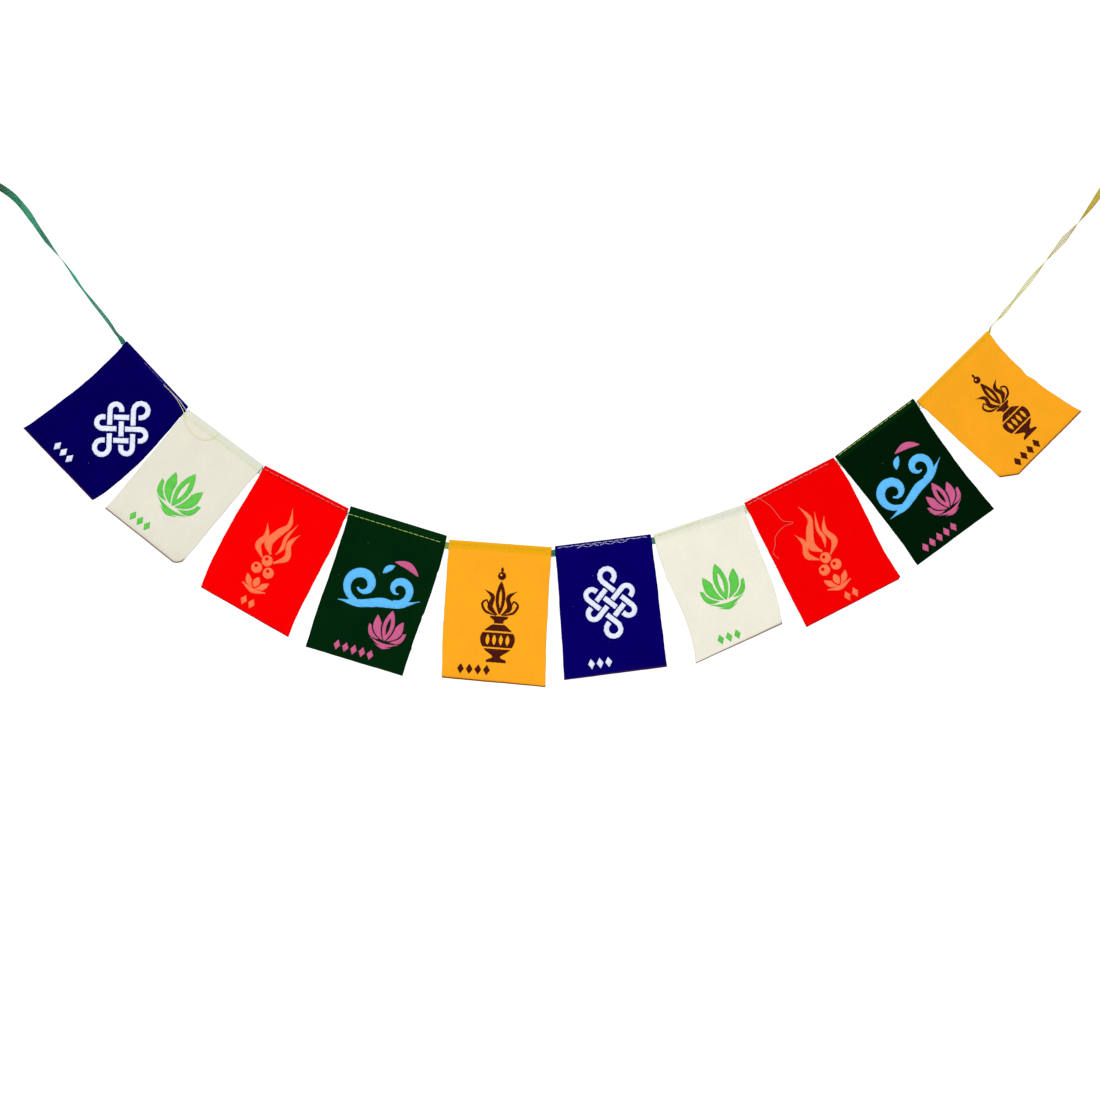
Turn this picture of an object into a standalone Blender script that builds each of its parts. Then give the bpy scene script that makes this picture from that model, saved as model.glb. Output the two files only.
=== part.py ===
"""A string of ten velvet prayer flags, sewn over a narrow ribbon that ends in two tied hanging loops.

The string hangs in the plane y = 0 and is seen from -Y. The origin is the crown of the left loop.
Sizes are in millimetres and are scaled to metres where the meshes are made.
"""

import math
from collections import namedtuple

import bpy
import bmesh
from mathutils import Vector
from mathutils.geometry import interpolate_bezier

MM = 0.001
BACKWARD = Vector((0.0, 1.0, 0.0))

CLOTH = 1.4
RIBBON_WIDE = 4.8
RIBBON_THICK = 0.6
CLEAR = 0.3
LAYER = RIBBON_THICK / 2 + CLEAR + CLOTH / 2
FOLD_DOWN = LAYER + CLOTH / 2
RIBBON_DOWN = FOLD_DOWN + RIBBON_WIDE / 2
FLAP_LONG = 9.0
HEM_LONG = 11.0
EDGE_LONG = 5.0
EDGE_ROLL = 0.28
BELLY_MARGIN = 0.15
CREASE_DEGREES = 40.0

PANEL_COLUMNS = 7
PANEL_ROWS = 6
FOLD_STEPS = 5
RIBBON_STEP = 3.6
LOOP_STEPS = 14

LOOP_LONG = 24.0
LOOP_ROUND = 6.5
KNOT_LONG = 9.0
KNOT_WIDE = 7.5
KNOT_DEEP = 6.5
KNOT_BITE = 1.0
KNOT_RIDGE = 0.12
KNOT_RIDGES = 3
KNOT_SLANT = 7.0
TAIL_LONG = 15.0
TAIL_LEAN = 0.35
TAIL_REACH = 0.25
TAIL_TURNS = (0.0, 12.0, 28.0)

# Each row is one flag, from the left. tilt is the slope of its folded top in degrees, and top is
# that fold's width. left_long and right_long are how far the sides reach below the fold, and
# left_out and right_out how far the bottom corners stand outside the fold's ends. A bow is how far
# a side leaves its straight line at one and two thirds of its length, to the right if positive.
# fold_up is the cloth that stands above the usual hem, gap and step lead to the flag from the one
# before it, along and down from the ribbon, and the curls bring the bottom corners forward.
Flag = namedtuple(
    "Flag",
    "name dye tilt top left_long right_long left_out right_out left_bow right_bow"
    " fold_up gap step curl_left curl_right belly",
)
FLAGS = (
    Flag("flag_01", "navy", -46.9, 66.5, 99.7, 98.8, 4.8, 2.6, (3.2, 2.7), (3.6, 4.2),
         1.2, 0.0, 0.0, 2.0, 1.0, 1.5),
    Flag("flag_02", "cream", -36.9, 70.0, 95.0, 96.7, 4.1, -5.3, (0.0, 0.0), (-0.3, 0.0),
         0.2, 2.0, 0.4, 4.0, 6.0, -1.5),
    Flag("flag_03", "red", -27.2, 69.5, 101.8, 104.9, 0.9, 4.0, (-1.5, -2.5), (1.2, -0.4),
         0.5, 1.4, -0.4, 1.5, 3.5, 1.2),
    Flag("flag_04", "green", -17.1, 74.5, 109.3, 108.6, 1.2, -0.7, (0.8, 0.0), (2.0, 0.5),
         3.0, 1.8, 0.3, 1.0, 3.0, 1.0),
    Flag("flag_05", "amber", -4.2, 76.0, 101.6, 103.3, -2.3, 3.0, (-0.8, -1.2), (-0.6, -0.8),
         0.4, 3.6, 0.0, 6.0, 3.0, -1.5),
    Flag("flag_06", "navy", 7.1, 71.4, 99.2, 98.2, 5.3, -0.1, (0.3, 0.2), (0.3, 0.0),
         0.8, 3.3, -0.3, 1.5, 6.0, 1.0),
    Flag("flag_07", "cream", 18.4, 70.2, 100.4, 92.2, 0.7, -1.5, (-0.6, 2.6), (0.3, 2.4),
         0.4, 3.2, 0.2, 2.5, 7.5, 1.5),
    Flag("flag_08", "red", 27.0, 74.0, 102.7, 102.3, 1.0, 4.4, (0.0, 0.0), (1.2, -0.8),
         1.0, 1.4, -0.3, 3.5, 2.0, -1.2),
    Flag("flag_09", "green", 36.5, 72.2, 101.2, 101.1, -1.1, -0.6, (0.5, 1.0), (-1.9, -1.9),
         2.0, 2.3, 0.9, 1.0, 2.5, 1.0),
    Flag("flag_10", "amber", 44.8, 73.9, 91.0, 90.4, -3.6, 6.0, (0.0, 0.0), (-4.6, -4.0),
         0.0, 1.4, 1.2, 5.0, 7.0, -2.0),
)

# A corner that is cut off: how far the cut reaches along the bottom edge and up the side.
Trim = namedtuple("Trim", "side along up")
TRIMS = {
    "flag_02": Trim("right", 3.5, 4.5),
    "flag_08": Trim("right", 2.5, 1.5),
    "flag_10": Trim("left", 11.0, 8.3),
}

# The free ribbon's line in x and z, from each knot to the flag beside it. The left run ends at
# the first flag, and the right run is told from the last flag's end of the ribbon.
LEFT_ROUTE = (
    (28.4, -18.6), (40.0, -26.2), (48.8, -31.8), (57.2, -37.6), (63.8, -44.2), (70.3, -52.4),
    (83.3, -71.4), (98.6, -91.0), (110.6, -108.2), (128.0, -130.2), (134.3, -139.5),
    (137.7, -144.2), (138.8, -149.5),
)
RIGHT_ROUTE = (
    (0.0, 0.0), (0.9, 5.2), (3.8, 9.4), (8.3, 15.1), (24.3, 34.9), (38.3, 52.3), (51.6, 68.1),
    (63.0, 81.3), (73.4, 94.7), (83.6, 109.6), (92.8, 122.4),
)

# How the ribbon turns about its own line: the share of the run from the flag, and degrees from
# face on.
LEFT_TURNS = (
    (0.0, 0.0), (0.05, 62.0), (0.12, 54.0), (0.21, 62.0), (0.29, 74.0), (0.35, 66.0),
    (0.41, 78.0), (0.46, 90.0), (0.51, 106.0), (0.56, 127.0), (0.63, 129.0), (0.69, 152.0),
    (0.75, 148.0), (0.81, 172.0), (0.88, 180.0), (1.0, 180.0),
)
RIGHT_TURNS = (
    (0.0, 0.0), (0.03, 76.0), (0.065, 91.0), (0.13, 120.0), (0.19, 103.0), (0.25, 115.0),
    (0.31, 128.0), (0.37, 117.0), (0.43, 90.0), (0.48, 75.0), (0.53, 60.0), (0.58, 43.0),
    (0.63, 62.0), (0.69, 90.0), (0.74, 112.0), (0.79, 135.0), (0.85, 152.0), (0.92, 174.0),
    (1.0, 180.0),
)

DYES = {
    "navy": (0.004, 0.001, 0.115),
    "cream": (0.855, 0.84, 0.70),
    "red": (0.90, 0.002, 0.004),
    "green": (0.002, 0.022, 0.006),
    "amber": (1.0, 0.43, 0.025),
}
RIBBON_COLOUR = (0.03, 0.21, 0.11)
VELVET_ROUGHNESS = 0.9
RIBBON_ROUGHNESS = 0.45


def clear_scene():
    """Removes whatever the file holds before the model is made."""
    for item in list(bpy.data.objects):
        bpy.data.objects.remove(item, do_unlink=True)


def new_collection(name):
    """A collection linked to the scene."""
    collection = bpy.data.collections.new(name)
    bpy.context.scene.collection.children.link(collection)
    return collection


def cloth_material(name, colour, roughness):
    """A plain Principled cloth of one colour."""
    material = bpy.data.materials.new(name)
    material.use_nodes = True
    shader = material.node_tree.nodes["Principled BSDF"]
    shader.inputs["Base Color"].default_value = (*colour, 1.0)
    shader.inputs["Roughness"].default_value = roughness
    shader.inputs["Metallic"].default_value = 0.0
    return material


def along(tilt):
    """The direction of a line that slopes by tilt degrees, in the string's plane."""
    return Vector((math.cos(math.radians(tilt)), 0.0, math.sin(math.radians(tilt))))


def below(tilt):
    """The direction square to that line, towards the flag's bottom."""
    return Vector((math.sin(math.radians(tilt)), 0.0, -math.cos(math.radians(tilt))))


def flag_starts():
    """Where the ribbon enters each flag, worked along the string from the first one."""
    places = {}
    at = Vector((LEFT_ROUTE[-1][0], 0.0, LEFT_ROUTE[-1][1]))
    before = FLAGS[0]
    for flag in FLAGS:
        slope = (before.tilt + flag.tilt) / 2
        at = at + along(slope) * flag.gap + below(slope) * flag.step
        places[flag.name] = at
        at = at + along(flag.tilt) * flag.top
        before = flag
    return places


def bowed(share, bow):
    """A side's offset at a share of its length, through its two named offsets and none at its ends."""
    high, low = bow
    return share * (1 - share) * (9 * high - 4.5 * low + 13.5 * (low - high) * share)


def side_length(flag, share):
    """How far the cloth reaches below the fold at a share of the width, a cut corner included."""
    length = flag.left_long + (flag.right_long - flag.left_long) * share
    trim = TRIMS.get(flag.name)
    if trim:
        bottom = flag.top + flag.left_out + flag.right_out
        from_corner = bottom * (share if trim.side == "left" else 1 - share)
        length -= trim.up * max(0.0, 1 - from_corner / trim.along)
    return length


def flag_point(flag, start, share, down, depth):
    """A point of the flag in space, at a share of its width and a distance below its fold."""
    left_share = down / flag.left_long
    right_share = down / flag.right_long
    left = -flag.left_out * left_share + bowed(left_share, flag.left_bow)
    right = flag.top + flag.right_out * right_share + bowed(right_share, flag.right_bow)
    across = left + (right - left) * share
    above = RIBBON_DOWN + flag.fold_up
    place = start + along(flag.tilt) * across + below(flag.tilt) * (down - above)
    place.y += depth
    return place


def panel_depth(flag, share, down):
    """The front panel's depth: at the hem it lies before the ribbon, and below it hangs and curls."""
    length = side_length(flag, share)
    fall = max(0.0, (down - HEM_LONG) / (length - HEM_LONG))
    settle = fall * fall * (3 - 2 * fall)
    curl = flag.curl_left + (flag.curl_right - flag.curl_left) * share
    inner = BELLY_MARGIN + (1 - 2 * BELLY_MARGIN) * share
    belly = flag.belly * math.sin(math.pi * fall) * math.sin(math.pi * inner)
    edge = max(0.0, (down - (length - EDGE_LONG)) / EDGE_LONG)
    roll = EDGE_ROLL * curl * edge * edge
    return -LAYER * (1 - settle) - curl * fall * fall - belly - roll


def flag_columns(flag):
    """Shares of the width that carry the cloth's columns, one of them where a cut corner starts."""
    columns = [step / PANEL_COLUMNS for step in range(PANEL_COLUMNS + 1)]
    trim = TRIMS.get(flag.name)
    if trim:
        cut = trim.along / (flag.top + flag.left_out + flag.right_out)
        cut = cut if trim.side == "left" else 1 - cut
        nearest = min(columns[1:-1], key=lambda column: abs(column - cut))
        columns[columns.index(nearest)] = cut
    return columns


def flag_rows(flag, share):
    """The cloth's path at one column: pairs of distance below the fold and depth, bottom to flap."""
    length = side_length(flag, share)
    hang = length - EDGE_LONG - HEM_LONG
    downs = [length]
    downs += [HEM_LONG + hang * step / PANEL_ROWS for step in range(PANEL_ROWS, -1, -1)]
    downs.append(FOLD_DOWN)
    path = [(down, panel_depth(flag, share, down)) for down in downs]
    for step in range(1, FOLD_STEPS + 1):
        turn = math.pi * step / FOLD_STEPS
        path.append((FOLD_DOWN - LAYER * math.sin(turn), -LAYER * math.cos(turn)))
    path.append((FLAP_LONG + flag.fold_up, LAYER))
    return path


def sheet_object(name, grid, thickness, material, collection):
    """A cloth solid: an open grid of points made into faces, then given its thickness."""
    mesh = bpy.data.meshes.new(name)
    shape = bmesh.new()
    rows = [[shape.verts.new(point * MM) for point in row] for row in grid]
    for upper, lower in zip(rows, rows[1:]):
        for side in range(len(upper) - 1):
            shape.faces.new((upper[side], upper[side + 1], lower[side + 1], lower[side]))
    bmesh.ops.recalc_face_normals(shape, faces=shape.faces)
    shape.to_mesh(mesh)
    shape.free()
    mesh.materials.append(material)
    mesh.shade_smooth()
    mesh.set_sharp_from_angle(angle=math.radians(CREASE_DEGREES))
    item = bpy.data.objects.new(name, mesh)
    collection.objects.link(item)
    solid = item.modifiers.new("thickness", "SOLIDIFY")
    solid.thickness = thickness * MM
    solid.offset = 0.0
    solid.use_even_offset = True
    return item


def make_flag(flag, start, material, collection):
    """One flag: its panel and the hem folded back over the ribbon are a single piece of cloth."""
    columns = flag_columns(flag)
    paths = [flag_rows(flag, share) for share in columns]
    grid = [
        [
            flag_point(flag, start, share, *path[row])
            for share, path in zip(columns, paths)
        ]
        for row in range(len(paths[0]))
    ]
    return sheet_object(flag.name, grid, CLOTH, material, collection)


def smooth_line(points, step):
    """Points about a step apart on a smooth curve through the given ones."""
    line = []
    last = len(points) - 1
    for spot in range(last):
        here, there = points[spot], points[spot + 1]
        leaving = (there - points[max(spot - 1, 0)]) / 6
        arriving = (points[min(spot + 2, last)] - here) / 6
        pieces = max(2, round((there - here).length / step) + 1)
        curve = interpolate_bezier(here, here + leaving, there - arriving, there, pieces)
        line += curve[:-1]
    line.append(points[-1])
    return line


def turn_at(share, turns):
    """The ribbon's turn in degrees at a share of its run, between the table's rows."""
    for (start, low), (end, high) in zip(turns, turns[1:]):
        if share <= end:
            part = (share - start) / (end - start)
            return low + (high - low) * part * part * (3 - 2 * part)
    return turns[-1][1]


def shares_of(line):
    """How far along its whole length each point of a line lies."""
    reached = [0.0]
    for here, there in zip(line, line[1:]):
        reached.append(reached[-1] + (there - here).length)
    return [value / reached[-1] for value in reached]


def strip_grid(line, turns):
    """Two rows of points, the ribbon's edges, along a line and turned about it in degrees."""
    upper, lower = [], []
    for spot, (point, turn) in enumerate(zip(line, turns)):
        heading = line[min(spot + 1, len(line) - 1)] - line[max(spot - 1, 0)]
        across = BACKWARD.cross(heading.normalized())
        wide = across * math.cos(math.radians(turn)) + BACKWARD * math.sin(math.radians(turn))
        upper.append(point + wide * RIBBON_WIDE / 2)
        lower.append(point - wide * RIBBON_WIDE / 2)
    return [upper, lower]


def ribbon_line(starts):
    """The whole ribbon from the left knot to the right one, with its turn at each point."""
    left = smooth_line([Vector((x, 0.0, z)) for x, z in LEFT_ROUTE], RIBBON_STEP)
    line = list(left)
    turns = [turn_at(1 - share, LEFT_TURNS) for share in shares_of(left)]
    for flag in FLAGS:
        start = starts[flag.name]
        end = start + along(flag.tilt) * flag.top
        if flag is not FLAGS[0]:
            line.append(start)
            turns.append(0.0)
        line += [start.lerp(end, 0.5), end]
        turns += [0.0, 0.0]
    last = line[-1]
    points = [last + Vector((x, 0.0, z)) for x, z in RIGHT_ROUTE]
    right = smooth_line(points, RIBBON_STEP)
    line += right[1:]
    turns += [turn_at(share, RIGHT_TURNS) for share in shares_of(right)[1:]]
    return line, turns


def loop_line(knot, away):
    """The hanging loop's line: two straight strands and the round crown that they run into."""
    centre = knot + away * LOOP_LONG
    side = Vector((away.z, 0.0, -away.x))
    opening = math.asin(LOOP_ROUND / LOOP_LONG)
    reach = math.pi / 2 + opening
    mouth = side * (RIBBON_THICK + CLEAR)
    line = [knot + mouth]
    for step in range(LOOP_STEPS + 1):
        turn = reach - 2 * reach * step / LOOP_STEPS
        line.append(centre + LOOP_ROUND * (away * math.cos(turn) + side * math.sin(turn)))
    line.append(knot - mouth)
    return line


def knot_object(name, knot, away, collection):
    """The tied knot's lump, with the shallow valleys that its turns leave."""
    shape = bmesh.new()
    bmesh.ops.create_icosphere(shape, subdivisions=2, radius=0.5)
    side = Vector((away.z, 0.0, -away.x))
    for vert in shape.verts:
        turn = math.atan2(vert.co.z, vert.co.y)
        ridge = 1 + KNOT_RIDGE * math.cos(KNOT_RIDGES * turn + KNOT_SLANT * vert.co.x)
        long, wide, deep = vert.co * Vector((1.0, ridge, ridge))
        place = away * long * KNOT_LONG + side * wide * KNOT_WIDE + BACKWARD * deep * KNOT_DEEP
        vert.co = (knot + place) * MM
    bmesh.ops.recalc_face_normals(shape, faces=shape.faces)
    mesh = bpy.data.meshes.new(name)
    shape.to_mesh(mesh)
    shape.free()
    item = bpy.data.objects.new(name, mesh)
    collection.objects.link(item)
    return item


def join_to(item, piece):
    """Adds a union with another solid, which is then only a guide."""
    piece.hide_render = True
    piece.display_type = "WIRE"
    union = item.modifiers.new(piece.name, "BOOLEAN")
    union.operation = "UNION"
    union.solver = "EXACT"
    union.object = piece


def make_ribbon(starts, material, parts, guides):
    """The one ribbon, through all the hems, with a knot, a loop and a short tail at each end."""
    line, turns = ribbon_line(starts)
    ribbon = sheet_object("ribbon", strip_grid(line, turns), RIBBON_THICK, material, parts)
    ends = (("left", line[0], line[1]), ("right", line[-1], line[-2]))
    for side, end, inner in ends:
        away = (end - inner).normalized()
        knot = end + away * (KNOT_LONG / 2 - KNOT_BITE)
        join_to(ribbon, knot_object("knot_" + side, knot, away, guides))
        loop = loop_line(knot, away)
        strip = strip_grid(loop, [90.0] * len(loop))
        join_to(ribbon, sheet_object("loop_" + side, strip, RIBBON_THICK, material, guides))
        drop = (away * TAIL_LEAN + Vector((0.0, TAIL_REACH, -1.0))).normalized()
        tail = [knot, knot + drop * TAIL_LONG / 2, knot + drop * TAIL_LONG]
        strip = strip_grid(tail, TAIL_TURNS)
        join_to(ribbon, sheet_object("tail_" + side, strip, RIBBON_THICK, material, guides))
    return ribbon


def main():
    clear_scene()
    parts = new_collection("prayer_flag_string")
    guides = new_collection("guides")
    velvets = {
        dye: cloth_material("velvet_" + dye, colour, VELVET_ROUGHNESS)
        for dye, colour in DYES.items()
    }
    satin = cloth_material("ribbon_satin", RIBBON_COLOUR, RIBBON_ROUGHNESS)
    starts = flag_starts()
    for flag in FLAGS:
        make_flag(flag, starts[flag.name], velvets[flag.dye], parts)
    make_ribbon(starts, satin, parts, guides)


main()
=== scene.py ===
"""The looks of a string of ten velvet prayer flags: cloth, prints, stitches, ribbon and studio.

Places are worked in millimetres in the string's own plane, y = 0, and are seen from -Y. The origin
is the crown of the left hanging loop. Meshes are made in metres.
"""

import math
import random
from collections import namedtuple

import bpy
from bpy.props import FloatProperty, FloatVectorProperty, IntProperty, PointerProperty
from bpy.types import Operator, Panel, PropertyGroup
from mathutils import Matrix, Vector
from mathutils.geometry import delaunay_2d_cdt, interpolate_bezier


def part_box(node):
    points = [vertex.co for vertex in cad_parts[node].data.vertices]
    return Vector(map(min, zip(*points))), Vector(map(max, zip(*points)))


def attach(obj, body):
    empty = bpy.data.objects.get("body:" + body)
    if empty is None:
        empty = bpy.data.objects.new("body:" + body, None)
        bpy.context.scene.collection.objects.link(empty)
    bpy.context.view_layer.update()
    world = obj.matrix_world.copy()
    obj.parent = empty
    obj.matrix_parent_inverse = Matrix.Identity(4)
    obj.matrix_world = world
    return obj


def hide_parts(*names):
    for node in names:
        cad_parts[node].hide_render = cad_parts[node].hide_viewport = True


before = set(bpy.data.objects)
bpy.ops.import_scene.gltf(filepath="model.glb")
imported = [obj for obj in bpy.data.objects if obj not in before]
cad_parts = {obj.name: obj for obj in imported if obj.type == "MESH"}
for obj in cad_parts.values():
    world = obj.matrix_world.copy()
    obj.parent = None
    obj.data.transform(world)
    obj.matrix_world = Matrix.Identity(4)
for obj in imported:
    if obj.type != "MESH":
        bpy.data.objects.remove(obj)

bl_info = {
    "name": "Velvet Prayer Flag String",
    "version": (1, 0, 0),
    "blender": (4, 5, 0),
    "location": "View3D > Sidebar > Prayer Flags",
    "description": "Dresses a hanging string of velvet prayer flags and lights it",
    "category": "Object",
}

MM = 0.001
BACKWARD = Vector((0.0, 1.0, 0.0))
ROOT = "root"

# The cloth and ribbon as the flags are sewn, in millimetres.
SOLID_CLOTH = 1.4
RIBBON_WIDE = 4.8
RIBBON_THICK = 0.6
CLEAR = 0.3
LAYER = RIBBON_THICK / 2 + CLEAR + SOLID_CLOTH / 2
FOLD_DOWN = LAYER + SOLID_CLOTH / 2
RIBBON_DOWN = FOLD_DOWN + RIBBON_WIDE / 2
SLOPE_STEP = 0.4
FLAP_LONG = 9.0
HEM_LONG = 11.0
EDGE_LONG = 5.0
EDGE_ROLL = 0.28
BELLY_MARGIN = 0.15
KNOT_LONG = 9.0
KNOT_WIDE = 7.5
KNOT_DEEP = 6.5
KNOT_BITE = 1.0
LOOP_LONG = 24.0
LOOP_ROUND = 6.5
LOOP_STEPS = 14
TAIL_LONG = 15.0
TAIL_LEAN = 0.35
TAIL_REACH = 0.25
TAIL_TURNS = (0.0, 12.0, 28.0)
ROUTE_STEP = 3.6

# Each row is one flag, from the left, measured as on the cutting table: tilt of the folded top in
# degrees, that fold's width, how far the sides reach below it, how far the bottom corners stand
# out, how the sides bow at one and two thirds, the cloth above the usual hem, the gap and step
# from the flag before it, the curl of each bottom corner and the belly of the panel.
Flag = namedtuple(
    "Flag",
    "name dye tilt top left_long right_long left_out right_out left_bow right_bow"
    " fold_up gap step curl_left curl_right belly",
)
FLAGS = (
    Flag("flag_01", "navy", -46.9, 66.5, 99.7, 98.8, 4.8, 2.6, (3.2, 2.7), (3.6, 4.2),
         1.2, 0.0, 0.0, 2.0, 1.0, 1.5),
    Flag("flag_02", "cream", -36.9, 70.0, 95.0, 96.7, 4.1, -5.3, (0.0, 0.0), (-0.3, 0.0),
         0.2, 2.0, 0.4, 4.0, 6.0, -1.5),
    Flag("flag_03", "red", -27.2, 69.5, 101.8, 104.9, 0.9, 4.0, (-1.5, -2.5), (1.2, -0.4),
         0.5, 1.4, -0.4, 1.5, 3.5, 1.2),
    Flag("flag_04", "green", -17.1, 74.5, 109.3, 108.6, 1.2, -0.7, (0.8, 0.0), (2.0, 0.5),
         3.0, 1.8, 0.3, 1.0, 3.0, 1.0),
    Flag("flag_05", "amber", -4.2, 76.0, 101.6, 103.3, -2.3, 3.0, (-0.8, -1.2), (-0.6, -0.8),
         0.4, 3.6, 0.0, 6.0, 3.0, -1.5),
    Flag("flag_06", "navy", 7.1, 71.4, 99.2, 98.2, 5.3, -0.1, (0.3, 0.2), (0.3, 0.0),
         0.8, 3.3, -0.3, 1.5, 6.0, 1.0),
    Flag("flag_07", "cream", 18.4, 70.2, 100.4, 92.2, 0.7, -1.5, (-0.6, 2.6), (0.3, 2.4),
         0.4, 3.2, 0.2, 2.5, 7.5, 1.5),
    Flag("flag_08", "red", 27.0, 74.0, 102.7, 102.3, 1.0, 4.4, (0.0, 0.0), (1.2, -0.8),
         1.0, 1.4, -0.3, 3.5, 2.0, -1.2),
    Flag("flag_09", "green", 36.5, 72.2, 101.2, 101.1, -1.1, -0.6, (0.5, 1.0), (-1.9, -1.9),
         2.0, 2.3, 0.9, 1.0, 2.5, 1.0),
    Flag("flag_10", "amber", 44.8, 73.9, 91.0, 90.4, -3.6, 6.0, (0.0, 0.0), (-4.6, -4.0),
         0.0, 1.4, 1.2, 5.0, 7.0, -2.0),
)

# A corner that is cut off: how far the cut reaches along the bottom edge and up the side, and its
# bend, 1 if it is straight and 2 if it is rounded.
Trim = namedtuple("Trim", "side along up bend")
TRIMS = {
    "flag_02": Trim("right", 6.0, 4.5, 2),
    "flag_08": Trim("right", 2.5, 1.5, 1),
    "flag_10": Trim("left", 11.0, 8.3, 1),
}

# Where a side was cut unevenly: how far below the fold, how far out, and over what length.
NICKS = {
    ("flag_04", "right"): ((29.0, -0.5, 1.6), (63.0, -0.6, 1.4), (88.0, 0.4, 2.0)),
    ("flag_10", "right"): ((43.5, -0.9, 3.0), (50.0, 0.3, 4.0)),
    ("flag_05", "left"): ((58.0, 0.4, 2.5),),
    ("flag_07", "left"): ((34.0, -0.5, 3.0),),
}

# How light each flag's cloth is beside the others of its dye.
SHADES = {
    "flag_01": 0.68, "flag_02": 0.88, "flag_03": 0.98, "flag_05": 0.98, "flag_06": 0.93,
    "flag_07": 0.97, "flag_08": 0.92, "flag_09": 0.55, "flag_10": 0.93,
}

# The free ribbon's line in x and z, from each knot to the flag beside it. The left run ends at
# the first flag, and the right run is told from the last flag's end of the ribbon.
LEFT_ROUTE = (
    (28.4, -18.6), (40.0, -26.2), (48.8, -31.8), (57.2, -37.6), (63.8, -44.2), (70.3, -52.4),
    (83.3, -71.4), (98.6, -91.0), (110.6, -108.2), (128.0, -130.2), (134.3, -139.5),
    (137.7, -144.2), (138.8, -149.5),
)
RIGHT_ROUTE = (
    (0.0, 0.0), (0.9, 5.2), (3.8, 9.4), (8.3, 15.1), (24.3, 34.9), (38.3, 52.3), (51.6, 68.1),
    (63.0, 81.3), (73.4, 94.7), (83.6, 109.6), (92.8, 122.4),
)

# How the ribbon turns about its own line: the share of the run from the flag, and degrees from
# face on.
LEFT_TURNS = (
    (0.0, 0.0), (0.05, 62.0), (0.12, 54.0), (0.21, 58.0), (0.29, 71.0), (0.35, 61.0),
    (0.41, 74.0), (0.46, 86.0), (0.51, 106.0), (0.56, 127.0), (0.63, 129.0), (0.69, 152.0),
    (0.75, 148.0), (0.81, 172.0), (0.88, 180.0), (1.0, 180.0),
)
RIGHT_TURNS = (
    (0.0, 0.0), (0.03, 76.0), (0.065, 91.0), (0.13, 120.0), (0.19, 103.0), (0.25, 115.0),
    (0.31, 128.0), (0.37, 117.0), (0.43, 90.0), (0.48, 70.0), (0.53, 50.0), (0.58, 28.0),
    (0.63, 57.0), (0.69, 90.0), (0.74, 112.0), (0.79, 135.0), (0.85, 152.0), (0.92, 174.0),
    (1.0, 180.0),
)

# Where the weave is dense: all the left run, the loops and tails, the right run from this share of
# it on, and the short bits after these flags. Every such bit reaches a little way into both hems.
DENSE_FROM = 0.70
DENSE_AFTER = ("flag_04", "flag_05", "flag_06")
HEM_MOUTH = 3.0

# Where each flag's print and the small row of marks below it are centred, along the fold from its
# left end and down from it, and the print's size beside the others of its kind.
Printed = namedtuple("Printed", "motif mark_row size")
PRINTED = {
    "flag_01": Printed((45.0, 47.5), (28.3, 90.5), 1.0),
    "flag_02": Printed((33.5, 53.0), (21.6, 87.5), 1.08),
    "flag_03": Printed((34.0, 52.5), (34.8, 95.5), 1.0),
    "flag_04": Printed((40.5, 64.0), (33.4, 101.0), 1.0),
    "flag_05": Printed((41.0, 53.8), (25.0, 94.2), 0.97),
    "flag_06": Printed((35.5, 46.5), (22.5, 90.0), 1.0),
    "flag_07": Printed((35.6, 51.8), (28.8, 89.5), 1.03),
    "flag_08": Printed((35.2, 54.0), (39.9, 96.0), 1.0),
    "flag_09": Printed((33.6, 57.6), (26.6, 94.0), 0.96),
    "flag_10": Printed((42.5, 46.5), (30.5, 84.2), 0.85),
}
MARKS = {"navy": 3, "cream": 3, "red": 2, "green": 5, "amber": 4}

# A row of hem stitches: how far below the fold it runs, the share of the width where it starts and
# ends, and how far every other stitch leans out of line.
Seam = namedtuple("Seam", "flag thread down start end lean")
SEAMS = (
    Seam("flag_01", "dusk", 1.5, 0.30, 0.99, 0.15),
    Seam("flag_02", "straw", 5.6, 0.01, 0.99, 0.0),
    Seam("flag_03", "salmon", 2.6, 0.01, 0.99, 0.15),
    Seam("flag_04", "lime", 6.1, 0.0, 1.0, 0.0),
    Seam("flag_05", "honey", 3.0, 0.01, 0.99, 0.0),
    Seam("flag_06", "lilac", 1.7, 0.02, 0.99, 0.25),
    Seam("flag_06", "lilac", 3.1, 0.22, 0.78, 0.6),
    Seam("flag_07", "olive", 1.9, 0.02, 0.52, 0.0),
    Seam("flag_07", "mint", 2.8, 0.54, 0.99, 0.0),
    Seam("flag_08", "salmon", 2.4, 0.02, 0.98, 0.2),
    Seam("flag_09", "lime", 1.1, 0.03, 0.99, 0.1),
    Seam("flag_10", "honey", 2.6, 0.02, 0.98, 0.0),
)

# How far from a row of stitches the cloth is still drawn in.
PULL_REACH = 0.9

# How deep the tinted hem band reaches, and how strongly it shows at the left and right ends.
HEM_BANDS = {
    "flag_01": (5.0, 0.4, 0.6),
    "flag_02": (6.2, 0.45, 1.0),
    "flag_03": (5.0, 0.9, 1.0),
    "flag_04": (6.0, 1.0, 1.0),
    "flag_05": (6.4, 0.9, 1.0),
    "flag_06": (5.0, 0.6, 0.6),
    "flag_07": (5.8, 0.6, 0.9),
    "flag_08": (5.0, 0.9, 1.0),
    "flag_09": (4.6, 0.8, 0.8),
    "flag_10": (5.2, 0.45, 0.6),
}

# Over what length the band fades out, on most dyes and on those where it is softer.
HEM_FADE = 1.2
SOFT_HEM_FADES = {"cream": 3.2}

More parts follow.
